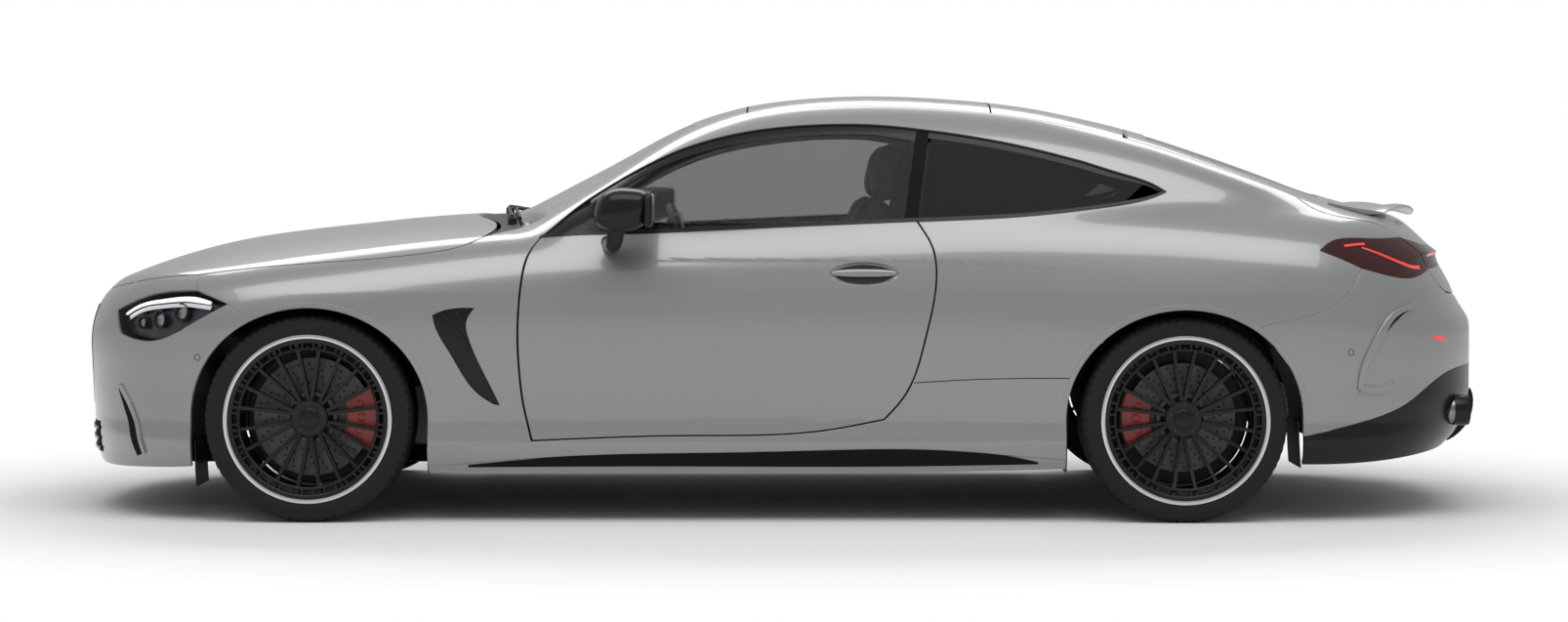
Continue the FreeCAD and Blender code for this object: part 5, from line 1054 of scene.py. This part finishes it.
diffuser_side = [rear_arch_rear_foot] + side_line((1854, 316), (1987, 351), (2058, 381),
                                                  (2133, 429), (2194, 466))
diffuser_top = diffuser_side + [rear_point(-500, 492), rear_point(0, 492)]
arch_side = leg(rear_arch_rear_foot, RA, RR, 124, 6)
half = join(bumper_seam, run(tail_lamp_foot, 5), gate_low_edge)
top = join(half, gate_bottom, mirrored(half)[::-1])
bottom = across(diffuser_top, (len(top) - 1) // FINE + 1)
seam_bottom, right, back, left = loop_inset([bottom, mirrored(arch_side), top[::-1], arch_side[::-1]],
                                            [SEAM, HEM, SEAM, HEM])
top, side = back[::-1], left[::-1]
lamp_stop, lid_corner = len(half) - len(gate_low_edge), len(half) - 1
cut = 3 * FINE
across_side = run([side[cut], (1850, 610), (2060, 690), top[lid_corner]], lamp_stop // FINE + 1)
middle = join(across_side, top[lid_corner:-lid_corner], mirrored(across_side)[::-1])
lower_grid = coons(smooth_line(seam_bottom, len(middle)), right[:cut + 1], middle, side[:cut + 1])
upper_grid = coons(across_side, top[lamp_stop:lid_corner + 1][::-1], top[:lamp_stop + 1], side[cut:])
rear_bumper = shell("rear_bumper", [lower_grid, upper_grid, mirrored_grid(upper_grid)], paint)
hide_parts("rear_bumper")

foot = below_arch(RA, RR, 1, 188)
bottom = across([foot] + side_line((1950, 192), (2120, 205)) + [rear_point(-400, 215),
                rear_point(0, 218)], 21)
side = run([foot, rear_arch_rear_foot], 4)
diffuser = shell("diffuser", [inset_grid(bottom, mirrored(side), across(diffuser_top, 21), side,
                                         [HEM, HEM, SEAM, HEM])], gloss_black)
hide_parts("diffuser")

# Front bumper, headlamps, skirts
lamp_low_line = run([lamp_tip, (-1938, 656), (-2047, 601), (-2110, 590), lamp_low], 6)
lamp_nose_line = run([lamp_low, lamp_nose], 3)
lamp_brow = [lamp_nose, (-2172, 716), (-2094, 744), (-2011, 757), lamp_top]
nose_strip_end = run([lamp_nose, bonnet_nose], 3)
half = join(arch_to_lamp, lamp_low_line, lamp_nose_line, nose_strip_end)
top = join(half, across(bonnet_lip, 13), mirrored(half)[::-1])
arch_side = leg(front_arch_front_foot, FA, FR, 61, 8)
bottom = across([front_arch_front_foot] + side_line((-2120, 168)) + [front_point(-600, 160),
                front_point(-300, 158), front_point(0, 158)], (len(top) - 1) // FINE + 1)
one, two, three, last = loop_inset([bottom[::-1], arch_side, top, mirrored(arch_side)[::-1]],
                                   [HEM, HEM, SEAM, HEM])
bumper_grid = coons(one[::-1], last[::-1], three, two)
hole_left, hole_right, hole_low, hole_high = (n * FINE for n in (13, 21, 2, 6))
bumper = shell("front_bumper", [(bumper_grid, ((hole_left, hole_right, hole_low, hole_high),))], paint,
               depth=10)
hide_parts("front_bumper")
strip_cells = inset_grid(run(lamp_brow, 5), run([lamp_top, bonnet_split], 3), bonnet_strip,
                         nose_strip_end, [SEAM, SEAM, HEM, SEAM])
strip = shell("lamp_strip_left", [strip_cells], paint, depth=10)
both(strip)


def lamp_opening(gap):
    return inset_grid(lamp_low_line[::-1], lamp_end, run(lamp_brow, 6), lamp_nose_line, [gap] * 4)


headlamp = shell("headlamp_left", [lamp_opening(1.3)], lamp_clear, hem=1.0, depth=4)
replace_all(both(headlamp), "headlamps")

a, b = below_arch(FA, FR, 1, 158), below_arch(RA, RR, -1, 172)
top = join(sill_low, quarter_low)
low = run([a, (-400, 156), (400, 158), b], (len(top) - 1) // FINE + 1)
skirt_grid = inset_grid(low, run([b, top[-1]], 3), top, run([top[0], a], 3)[::-1],
                        [HEM, HEM, SEAM, HEM])
skirt = shell("side_skirt_left", [skirt_grid], paint, depth=30)
replace_all(both(skirt), "side_skirts")

# Blade along the sill, quarter line, sensors, reflectors and the lips of the arches
blade_low = run([(-1036, 181), (-400, 184), (400, 184), (833, 192)], 20)
blade_top = run([(-1036, 186), (-820, 208), (-224, 228), (125, 236), (444, 239), (631, 229),
                 (749, 215), (833, 196)], 20)
blade_grid = np.stack([seat(np.array(blade_low) * (1 - t) + np.array(blade_top) * t)
                       for t in np.linspace(0, 1, 5)], axis=1)
both(shell("sill_blade_left", [blade_grid], seam_and_shade_black, hem=1.0, depth=6, recess=-3.0))
both(trim("quarter_line_left", run([(428, 458), (640, 470), (950, 474)], 10), -1.3, 1.3, seam_and_shade_black,
          lift=0.2, depth=1.5, hem=0.3))
rings = []
for x, z in ((-1926, 541), (1860, 558)):
    place = side_point(x, z)
    rings.append(turned(place, normal(place), [(-1, 9), (0.5, 9.3), (0.5, 11), (-1, 11.4)], 24))
both(solid_mesh("sensor_rings_left", rings, seam_and_shade_black))
# The reflector takes the red lamp material, so it glows though it is no lamp: a painted glow.
both(trim("reflector_left", run([(2160, 600), (2215, 588)], 5), -6, 6, red_bar, lift=0.8))
for k, (axle, radius, first, last) in enumerate(((FA, FR, 12, 168), (RA, RR, 10, 172))):
    lip = [arch_point(axle, radius, a) for a in np.linspace(first, last, 60 if FINE > 4 else 40)]
    both(trim("arch_lip_%d_left" % k, lip, 3, 17, paint, lift=1.6, depth=3, hem=1.4))

# Headlamps: a dark bowl, a light bar with a bright ledge along the top and three lamp eyes
both(shell("lamp_bowl_left", [lamp_opening(5.0)], lamp_dark, hem=3, depth=64, recess=50, inner=True))
bar_line = run([(-2196, 677), (-2143, 707), (-2048, 727), (-1957, 734), (-1885, 722)], 10)
width = along_line(bar_line, (0, 2), (0.5, 5), (0.85, 7.5), (1, 4))
both(trim("light_bar_left", bar_line, -width, width, light_bar, lift=-4.5, depth=10, hem=1))
both(trim("lamp_ledge_left", bar_line, -width - 3, -width - 16, lamp_chrome, lift=-24, depth=30, hem=2))
eyes, glassy = [], []
for x, z, radius in ((-2005, 690, 25), (-2085, 662, 25), (-2152, 650, 18)):
    place = side_point(x, z)
    out = unit(normal(place) + np.array([-0.5, -0.3, 0]))
    eyes.append(turned(place - out * 46, out, [(-4, radius), (14, radius + 6), (18, radius + 6),
                                               (18, radius + 2), (2, radius - 3), (-4, radius - 3)], 28))
    dome = [(-3, 0.4)] + [(10 * math.cos(math.radians(t)), radius * 0.92 * math.sin(math.radians(t)))
                          for t in range(6, 91, 12)] + [(-3, radius * 0.9)]
    glassy.append(turned(place - out * 42, out, dome, 28))
both(solid_mesh("lamp_eyes_left", eyes, lamp_dark))
both(solid_mesh("lamp_lenses_left", glassy, lamp_lens))

# Joints across the roof, the edge, the painted shade in the scallop and the foot of the rear slot, the
# lower intake's painted shade, the grille's frame
for k, (x, y) in enumerate(((-126, 500), (703, 540))):
    line = across([plan_point(x, -y), plan_point(x, -y / 2), plan_point(x, 0)], 9)
    trim("roof_joint_%d" % k, line, -3, 3, seam_and_shade_black, lift=0.25, depth=2, hem=0.3)
edge_line = run([(2077, 706), (1997, 667), (1955, 605), (1900, 493), (1893, 440)], 14)
width = along_line(edge_line, (0, 3), (0.5, 9), (1, 5))
both(trim("rear_slot_edge_left", edge_line, -width, width, paint, lift=9, depth=11, hem=5))
# A dark leaf of painted shade where the bumper's scallop above the slot curves in.
leaf = run([(2066, 694), (2015, 662), (1980, 620)], 8)
width = along_line(leaf, (0, 1), (0.5, 7), (1, 1))
both(trim("rear_slot_leaf_left", leaf, -width, width, satin_black, lift=0.8, depth=3))
both(trim("rear_slot_foot_left", run([(1898, 438), (1950, 432), (2008, 446)], 6), -9, 9, paint, lift=5,
          depth=7, hem=5))
# The lower intake is not an opening: a flat black strip is its painted shade, with raised bars over it.
floor_line = across([front_point(-530, 250), front_point(-300, 246), front_point(0, 245)], 21)
trim("lower_intake", floor_line, -52, 52, seam_and_shade_black, lift=0.9, depth=3, hem=1)
for k, z in enumerate((212, 246, 280)):
    line = across([front_point(-520, z), front_point(-300, z - 3), front_point(0, z - 4)], 21)
    trim("intake_bar_%d" % k, line, -4, 4, gloss_black, lift=7, depth=8, hem=2)
for side, row in (("top", hole_high), ("low", hole_low)):
    trim("grille_frame_" + side, list(bumper_grid[hole_left:hole_right + 1, row]), -7, 7, gloss_black,
         lift=2.4, depth=12, hem=2)
both(trim("grille_frame_left", list(bumper_grid[hole_left, hole_low:hole_high + 1]), -7, 7, gloss_black,
          lift=2.4, depth=12, hem=2))

# Inner walls beside the engine and the boot, and the flaps at the feet of the arches
def sheet(name, columns, rows, place, thickness, material):
    """A thin sheet through place(a, b), with a and b from 0 to 1, and its twin."""
    near = np.array([[place(a, b) for b in np.linspace(0, 1, rows)] for a in np.linspace(0, 1, columns)])
    return both(solid_mesh(name, [slab_between(near, near + np.array(thickness))], material))


def wall(name, y, xs, zs, material, swell):
    def place(a, b):
        dent = swell * math.sin(math.pi * a) ** 2 * math.sin(math.pi * b) ** 2
        return xs[0] + (xs[1] - xs[0]) * a, y - dent, zs[0] + (zs[1] - zs[0]) * b
    return sheet(name, 25, 13, place, (0, 3.0, 0), material)


def flap(name, x, ys, zs, bulge):
    def place(a, b):
        return x + bulge * (1 - b) ** 2, ys[0] + (ys[1] - ys[0]) * a, zs[0] + (zs[1] - zs[0]) * b
    return sheet(name, 13, 9, place, (4.0, 0, 0), satin_black)


wall("inner_wing_left", -440, (-1850, -1270), (430, 800), satin_black, 14)
wall("boot_side_left", -585, (1010, 1690), (548, 860), interior_black, 10)
flap("front_flap_left", -1178, (-866, -640), (153, 262), 6)
flap("front_deflector_left", -1946, (-850, -640), (112, 262), 6)
flap("rear_flap_left", 934, (-862, -600), (158, 500), -6)
flap("rear_deflector_left", 1692, (-880, -640), (176, 330), 6)
tray_low = np.array([[(-2330 + 1330 * a, 480 * b, 160 + 7 * math.cos(10 * math.pi * a) ** 8 * (1 - b ** 4)
                       + 30 * max(0.0, 0.12 - a) / 0.12) for b in np.linspace(-1, 1, 25)]
                     for a in np.linspace(0, 1, 45)])
solid_mesh("front_tray", [slab_between(tray_low, tray_low + np.array([0, 0, 4.0]))], satin_black)

# Tail lamps: bright bands over the dark lens, and a black band between the gate's lamps
band_one = run([(1914, 899), (1975, 878), (2040, 852), (2100, 832), (2130, 830)], 12)
width = along_line(band_one, (0, 3), (1, 6))
both(trim("tail_band_left", band_one, -width, width, red_bar, lift=1.0, depth=3))
band_two = run([(1852, 905), (1885, 909), (1925, 911)], 5)
both(trim("tail_band_upper_left", band_two, -4, 4, red_bar, lift=1.0, depth=3))
gate_band = run([rear_point(-600, 868), rear_point(-450, 872), rear_point(-330, 872)], 8)
both(trim("gate_band_left", gate_band, -6, 6, red_bar, "tailgate", lift=1.0, depth=3))
centre_band = across([rear_point(-318, 868), rear_point(-150, 869), rear_point(0, 869)], 15)
trim("gate_centre_band", centre_band, -30, 30, gloss_black, "tailgate", lift=0.8, depth=3)

# Spoiler on the lid
low_face, high_face = np.zeros((41, 10, 3)), np.zeros((41, 10, 3))
for i, y in enumerate(np.linspace(-560, 560, 41)):
    taper = 1 - (abs(y) / 600) ** 4
    for j, t in enumerate(np.linspace(0, 1, 10)):
        base = plan_point(2035 - 190 * (y / 560) ** 2 + (178 + 10 * taper) * t, y)
        height = 6 + 66 * taper * t ** 1.5
        low_face[i, j] = base + np.array([6 * t, 0, max(0.6, height - 7 - 34 * (1 - t))])
        high_face[i, j] = base + np.array([8 * t, 0, height])
solid_mesh("spoiler", [slab_between(low_face, high_face)], paint, "tailgate", 50)

# Wipers in the cowl
wipers = []
for ends in (((-925, -520), (-955, -280), (-982, 40)), ((-982, 60), (-955, 300), (-920, 540))):
    path = smooth_line([plan_point(*e) + np.array([0, 0, 16.0]) for e in ends], 16)
    wipers.append(tube(path, np.linspace(9, 4, 16)))
    blade_path = smooth_line([plan_point(x + 26, y) + np.array([0, 0, 9.0]) for x, y in ends], 16)
    wipers.append(tube(blade_path, 6.5, 8))
    knob = plan_point(ends[0][0], ends[0][1])
    wipers.append(turned(knob, (0, 0, 1), [(-6, 15), (12, 15), (18, 10), (22, 0.5), (-6, 0.5)], 20))
solid_mesh("wipers", wipers, satin_black)

# Mirrors: a shaped cap on a stalk, with a bright glass towards the driver
MIRROR_X, MIRROR_Z = -522, 1028
mirror_y = side_point(-575, 925)[1] - 148
cap = pillow((MIRROR_X, mirror_y, MIRROR_Z), (92, 104, 70), tilt=4, round_off=0.72, rings=18)
cap_points = [p + np.array([0.22 * (p[2] - MIRROR_Z), 0, 0]) for p in cap[0]]
rim_part = pillow((MIRROR_X + 82, mirror_y, MIRROR_Z), (14, 96, 60), round_off=0.5, rings=12)
foot = tube(smooth_line([(-585, mirror_y + 158, 918), (-570, mirror_y + 105, 908),
                         (-556, mirror_y + 45, 918), (-545, mirror_y + 5, 975)], 12),
            np.linspace(22, 30, 12), 16)
mirror_cap = solid_mesh("mirror_cap_left", [(cap_points, cap[1]), foot], gloss_black, "door_left", 60)
mirror_rim = solid_mesh("mirror_rim_left", [rim_part], satin_black, "door_left", 60)
glass_face = pillow((MIRROR_X + 95.5, mirror_y, MIRROR_Z), (2, 88, 52), round_off=0.35, rings=10)
mirror_glass = solid_mesh("mirror_glass_left", [glass_face], lamp_chrome, "door_left", 60)
replace_each(both(mirror_cap), "mirror")
both(mirror_rim)
both(mirror_glass)
sail = [resample([belt_front] + side_line((-735, 941)) + [door_belt[2 * FINE]], 13),
        resample([window_a[0]] + side_line((-735, 993)) + [window_a[2 * FINE]], 13)]
sail_grid = np.stack([np.array(sail[0]) * (1 - t) + np.array(sail[1]) * t for t in np.linspace(0, 1, 5)],
                     axis=1)
both(shell("mirror_sail_left", [sail_grid], gloss_black, "door_left", hem=0.6, depth=8, recess=2.0))

# Tailpipes, diffuser fins, and the front bumper's slot, a flat black strip of painted shade, with its
# blade
tip_ring = [(0, 45.3), (46, 45.6), (51, 47.5), (51, 50), (46, 51.5), (0, 51)]
both(solid_mesh("tailpipe_tips_left", [turned((2262, -y, 345), (1, 0, 0), tip_ring, 40)
                                       for y in (480, 592)], gloss_black))
fins = []
for y in (150, 320):
    rows = []
    for z in np.linspace(226, 400, 11):
        on_form = rear_point(-y, z)
        reach = 26 * math.sin(math.pi * min(1.0, (z - 214) / 190)) ** 0.6
        rows.append((on_form - normal(on_form) * 3, on_form + normal(on_form) * reach))
    rows = np.array(rows)
    fins.append(slab_between(rows - np.array([0, 3.5, 0]), rows + np.array([0, 3.5, 0])))
both(solid_mesh("diffuser_fins_left", fins, satin_black))
slot = run([(-2224, 428), (-2174, 325), (-2138, 212)], 12)
width = along_line(slot, (0, 7), (0.3, 17), (0.8, 22), (1, 19))
# The slot is no opening: a flat black strip on the bumper is its painted shade.
both(trim("air_slot_left", slot, -width, width, seam_and_shade_black, lift=0.8, depth=3))
both(trim("air_blade_left", slot, width + 3, width + 11, paint, lift=9, depth=11, hem=3))

# Wheels: tyre with grooves and lugs, polished lip, ribbed ring, bare cap, bolts, disc with dark dots of
# painted shade for its drilled holes, brake shield and valve
SEGMENTS = 144
BEAD_RADIUS = 258.3
FRONT_DISC, REAR_DISC = 195.0, 180.0


def spoke_point(centre, turn, distance):
    """A point beside a wheel's centre, at an angle round the axle."""
    return centre + np.array([math.cos(turn), 0, math.sin(turn)]) * distance


def wheel(axle, place_x, radius, width, disc_radius):
    centre = np.array([place_x, -HALF_TRACK, radius])
    out = (0, -1, 0)
    half = width / 2
    rim_half = half - 1.5

    def add(name, parts, material, sharp=35, body="wheel_%s_left" % axle):
        return both(solid_mesh("%s_%s_left" % (name, axle), parts, material, body, sharp))

    def rim_ring(*profile):
        """A ring from (distance past the rim's face, radius) points."""
        return turned(centre, out, [(rim_half + a, r) for a, r in profile], SEGMENTS)

    side = [(half - a, r) for a, r in (
        (8, BEAD_RADIUS), (5, 276), (1, 283), (0, 292), (0.5, 304), (1.5, 305), (3, 316),
        (10, radius - 9), (18, radius - 3), (27, radius - 0.6))]
    grooves = [(half - edge - a, radius - b) for edge in (36, 72)
               for a, b in ((0, 0.4), (1, 7), (9, 7), (10, 0.2))]
    outer_half = side + grooves
    profile = outer_half + [(-a, r) for a, r in reversed(outer_half)]
    count = len(profile)

    def notch(i, j):
        k = min(j, count - 1 - j)
        return 4.5 if k in (7, 8, 9) and i % 4 == 0 else (2.0 if 9 < k < 12 and i % 4 == 2 else 0.0)

    tyre = add("tyre", [turned(centre, out, profile, 2 * SEGMENTS, notch=notch)], rubber, 25)
    replace_each(tyre, "tyre_" + axle)
    add("rim_lip", [rim_ring((-6, 262), (1.0, 264), (2.4, 267), (2.6, 272), (1.2, 276.5), (-6, 276.5))],
        machined)
    band = [rim_ring((-32, 226), (-13, 225), (-11, 227), (-11, 232), (-13, 234), (-32, 234)),
            rim_ring((-30, 250), (-6, 249), (-4, 251), (-2, 261), (-8, 263), (-30, 263))]
    for k in range(40):
        turn = 2 * math.pi * (k + 0.5) / 40
        sideways = np.array([-math.sin(turn), 0, math.cos(turn)])
        block = np.array([[[spoke_point(centre, turn, r) + sideways * along + np.array([0, -o, 0])
                            for o in (rim_half - 28, rim_half - 9)] for r in (231, 253)]
                          for along in (-3.4, 3.4)])
        band.append(slab_between(*block))
    add("rim_band", band, rim_black)
    add("hub_cap", [turned(centre, out, [(76, 0.4), (76, 33), (82, 32), (85, 28), (86, 20), (86.5, 0.4)],
                           40)], gloss_black)
    bolts = []
    for k in range(5):
        spot = spoke_point(centre, 2 * math.pi * k / 5 + math.pi / 2, 47)
        bolts.append(turned(spot, out, [(74, 11), (80, 11), (80, 8), (76, 7), (76, 0.4), (74, 0.4)], 24))
        bolts.append(turned(spot, out, [(75, 7), (83, 7), (85, 5), (85, 0.4), (75, 0.4)], 6))
    add("lug_bolts", bolts, dark_steel)
    # The disc's drilled holes are not cut: dark dots on its face are their painted shade.
    rows = (112, 134, 156, 176) if disc_radius > 190 else (110, 130, 150, 166)
    add("disc_holes", [turned(spoke_point(centre, 2 * math.pi * (k + step * 0.27) / 30, r), out,
                              [(1.6, 3.6), (2.5, 3.6), (2.5, 0.3), (1.6, 0.3)], 8)
                       for k in range(30) for step, r in enumerate(rows)], seam_and_shade_black)
    shield = [(-62, 60), (-66, 60), (-66, 226), (-52, 228), (-52, 225), (-62, 222)]
    add("brake_shield", [turned(centre, out, shield, 48)], dark_steel,
        body="knuckle_left" if axle == "front" else "body")
    add("valve", [tube([centre + np.array([0, 30 - rim_half, 240.0]),
                        centre + np.array([0, 12 - rim_half, 236.0])], 4)], satin_black)


wheel("front", FA, FR, 245.0, FRONT_DISC)
wheel("rear", RA, RR, 275.0, REAR_DISC)


def caliper(name, axle_x, radius, disc_radius, middle, body):
    """A brake caliper on the side of its disc that an angle names, 0 being the top."""
    low, high = disc_radius - 79.5, disc_radius + 26.5
    profile = [(5, low), (25, low), (30, low + 7), (30, high - 8), (24, high), (-60, high),
               (-60, disc_radius + 5), (5, disc_radius + 5)]
    centre = (axle_x, -HALF_TRACK, radius)
    parts = [turned(centre, (0, -1, 0), profile, 20, start=middle - 27, sweep=54)]
    for offset in (-15, 0, 15):
        turn = math.radians(middle + offset)
        up = np.array([-math.sin(turn), 0, math.cos(turn)])
        spot = np.array(centre) + up * (disc_radius - 30)
        parts.append(turned(spot, (0, -1, 0), [(28, 15), (33, 14), (34, 11), (34, 0.4), (28, 0.4)], 20))
    both(solid_mesh(name, parts, caliper_red, body, 30))


caliper("caliper_front_left", FA, FR, FRONT_DISC, -90, "knuckle_left")
caliper("caliper_rear_left", RA, RR, REAR_DISC, 90, "body")

# Seats of padded blocks that a cloth simulation crowns, in metres and simulation steps
PAD_VOXEL, PAD_PRESSURE, PAD_STEPS, PAD_CROWN = 0.008, 4.0, 20, 0.012


def baked(pad):
    """The pad's mesh with its modifiers applied, and its points as one row of numbers."""
    mesh = bpy.data.meshes.new_from_object(pad.evaluated_get(bpy.context.evaluated_depsgraph_get()))
    mesh.materials.clear()
    mesh.materials.append(leather)
    points = np.zeros(len(mesh.vertices) * 3)
    mesh.vertices.foreach_get("co", points)
    return mesh, points


def stuff(pad):
    """Blows a closed pad up a little with cloth, so that its sides crown."""
    remesh = pad.modifiers.new("remesh", "REMESH")
    remesh.mode = "VOXEL"
    remesh.voxel_size = PAD_VOXEL
    mesh, start = baked(pad)
    pad.modifiers.remove(remesh)
    pad.data = mesh
    cloth = pad.modifiers.new("cloth", "CLOTH")
    cloth.settings.use_pressure = True
    cloth.settings.uniform_pressure_force = PAD_PRESSURE
    cloth.settings.quality = 3
    cloth.settings.effector_weights.gravity = 0.0
    for number in range(1, PAD_STEPS + 1):
        bpy.context.scene.frame_set(number)
    result, end = baked(pad)
    pad.modifiers.remove(cloth)
    bpy.context.scene.frame_set(1)
    move = (end - start).reshape(-1, 3)
    length = np.maximum(np.linalg.norm(move, axis=1, keepdims=True), 1e-9)
    move = move * np.minimum(1.0, PAD_CROWN / length)
    result.vertices.foreach_set("co", (start.reshape(-1, 3) + move).ravel())
    result.polygons.foreach_set("use_smooth", [True] * len(result.polygons))
    pad.data = result


def stuffed(name, blocks, node):
    """Pads on the left side, each with its twin; the first stands for the CAD node."""
    for k, block in enumerate(blocks):
        cushion = solid_mesh("%s_pad_%d_left" % (name, k), [block], leather, "body", 80)
        stuff(cushion)
        for pad in both(cushion):
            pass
        if k == 0:
            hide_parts(node)


def bolsters(x, z, tilt, half):
    """The two narrow pads beside the middle of a seat's cushion or back."""
    return [pillow((SX + x, SY + side, SZ + z), half, tilt=tilt, round_off=0.5) for side in (-205, 205)]


SX, SY, SZ = -190.0, -372.0, 190.0
stuffed("seat", [pillow((SX + 60, SY, SZ + 105), (255, 165, 72), tilt=-6, round_off=0.34),
                 *bolsters(60, 120, -6, (240, 52, 82)),
                 pillow((SX + 392, SY, SZ + 500), (58, 168, 395), tilt=19, round_off=0.36),
                 *bolsters(362, 460, 19, (74, 50, 330)),
                 pillow((SX + 548, SY, SZ + 958), (48, 135, 96), tilt=14, round_off=0.5)], "seats")
stuffed("rear_seat", [pillow((925, -282, 588), (180, 215, 58), tilt=-5, round_off=0.36),
                      pillow((1150, -282, 735), (56, 215, 175), tilt=24, round_off=0.36),
                      pillow((1225, -282, 905), (40, 110, 58), tilt=22, round_off=0.5)], "rear_seats")
frames = []
for y in (SY, -SY):
    frames.append(slab_between(*[np.array([[(SX - 150 + 430 * a, y - 190 + 380 * b, z)
                                            for b in (0, 0.5, 1)] for a in (0, 0.5, 1)])
                                 for z in (196.0, 226.0)]))
    for side in (-60, 60):
        frames.append(tube([(SX + 500, y + side, SZ + 800), (SX + 545, y + side, SZ + 900)], 6, 12))
    frames.append(turned((SX + 330, y, SZ + 120), (0, 1, 0), [
        (-255, 30), (-265, 24), (-265, 8), (265, 8), (265, 24), (255, 30)], 28))
solid_mesh("seat_frames", frames, interior_black)

# Screens, tunnel console and wheel pad
screens = [pillow(centre, half, tilt=tilt, round_off=0.22, rings=8)
           for centre, half, tilt in (((-352, -372, 952), (8, 150, 60), -14),
                                      ((-378, 20, 905), (9, 110, 95), -22))]
solid_mesh("screens", screens, gloss_black)
solid_mesh("console", [pillow((-20, 0, 400), (360, 105, 95), tilt=-3, round_off=0.3),
                       pillow((170, 0, 500), (150, 95, 40), round_off=0.35)], interior_black)
solid_mesh("wheel_pad", [pillow((-338, -372, 870), (22, 78, 62), tilt=-24, round_off=0.5, rings=12)],
           interior_black, "steering_wheel")

# CAD nodes that stay get their materials
finishes = {
    "grille": gloss_black, "exhaust": exhaust_metal, "wheel_liners": satin_black,
    "front_subframe": dark_steel, "rear_subframe": dark_steel, "engine": cast_metal,
    "floor_pan": underside, "dashboard": interior_black, "steering_wheel": leather,
}
for node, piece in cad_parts.items():
    for start, material in (("tyre", rubber), ("rim", rim_black), ("disc", cast_disc),
                            ("knuckle", cast_metal)):
        if node.startswith(start):
            finishes[node] = material
    if node in finishes:
        piece.data.materials.clear()
        piece.data.materials.append(finishes[node])

# Stage, light and camera
def seen_directly(tree):
    """One for rays from the camera or through glass, zero for all others."""
    rays = tree.nodes.new("ShaderNodeLightPath")
    either = tree.nodes.new("ShaderNodeMath")
    either.operation = "MAXIMUM"
    tree.links.new(rays.outputs["Is Camera Ray"], either.inputs[0])
    tree.links.new(rays.outputs["Is Transmission Ray"], either.inputs[1])
    return either.outputs[0]


bpy.ops.mesh.primitive_plane_add(size=60, location=(0, 0, 0))
floor = bpy.context.object
floor.name = "floor"
stage_white = finish("stage_white", (0.9, 0.9, 0.9), 0.9)
floor.data.materials.append(stage_white)

# The world lights the car softly and is seen as plain white
scene = bpy.context.scene
scene.view_settings.view_transform = "Standard"
world = bpy.data.worlds.new("studio")
scene.world = world
world.use_nodes = True
tree = world.node_tree
background = tree.nodes["Background"]
background.inputs["Color"].default_value = (1, 1, 1, 1)
mix = tree.nodes.new("ShaderNodeMix")
mix.inputs[2].default_value, mix.inputs[3].default_value = 0.42, 1.0
tree.links.new(seen_directly(tree), mix.inputs[0])
tree.links.new(mix.outputs[0], background.inputs["Strength"])

# The floor fades to plain white away from the car, so that only the shadow under it shows
tree = stage_white.node_tree
place = tree.nodes.new("ShaderNodeTexCoord")
squash = tree.nodes.new("ShaderNodeMapping")
squash.inputs["Scale"].default_value = (1 / 3.6, 1 / 2.6, 1)
reach = tree.nodes.new("ShaderNodeVectorMath")
reach.operation = "LENGTH"
fade = tree.nodes.new("ShaderNodeMapRange")
fade.inputs["From Min"].default_value, fade.inputs["From Max"].default_value = 0.75, 1.05
share = tree.nodes.new("ShaderNodeMath")
share.operation = "MULTIPLY"
glow = tree.nodes.new("ShaderNodeEmission")
blend = tree.nodes.new("ShaderNodeMixShader")
for source, target in ((place.outputs["Object"], squash.inputs["Vector"]),
                       (squash.outputs["Vector"], reach.inputs[0]),
                       (reach.outputs["Value"], fade.inputs["Value"]),
                       (fade.outputs["Result"], share.inputs[0]),
                       (seen_directly(tree), share.inputs[1]),
                       (share.outputs[0], blend.inputs[0]),
                       (tree.nodes["Principled BSDF"].outputs[0], blend.inputs[1]),
                       (glow.outputs[0], blend.inputs[2]),
                       (blend.outputs[0], tree.nodes["Material Output"].inputs["Surface"])):
    tree.links.new(source, target)


def area_light(name, place, aim, size, power):
    light = bpy.data.lights.new(name, "AREA")
    light.shape = "RECTANGLE"
    light.size, light.size_y = size
    light.energy = power
    lamp = bpy.data.objects.new(name, light)
    lamp.location = place
    lamp.rotation_euler = (Vector(aim) - Vector(place)).to_track_quat("-Z", "Y").to_euler()
    scene.collection.objects.link(lamp)


area_light("key", (0, -3.2, 7.0), (0, 0, 0.6), (10, 5), 350)
area_light("back", (0, 4.5, 5.5), (0, 0, 0.8), (9, 2.5), 200)

# The photo's width, middle row, horizon and focal length, in its pixels
PHOTO_WIDTH, MIDDLE_ROW, HORIZON_ROW, FOCAL_LENGTH = 1606, 318.5, 176, 3224
camera_data = bpy.data.cameras.new("camera")
camera_data.sensor_width = 36
camera_data.lens = 36 * FOCAL_LENGTH / PHOTO_WIDTH
camera_data.shift_y = -(MIDDLE_ROW - HORIZON_ROW) / PHOTO_WIDTH
camera = bpy.data.objects.new("camera", camera_data)
camera.location = (0, -11.24, 1.15)
camera.rotation_euler = (math.pi / 2, 0, 0)
scene.collection.objects.link(camera)
scene.camera = camera
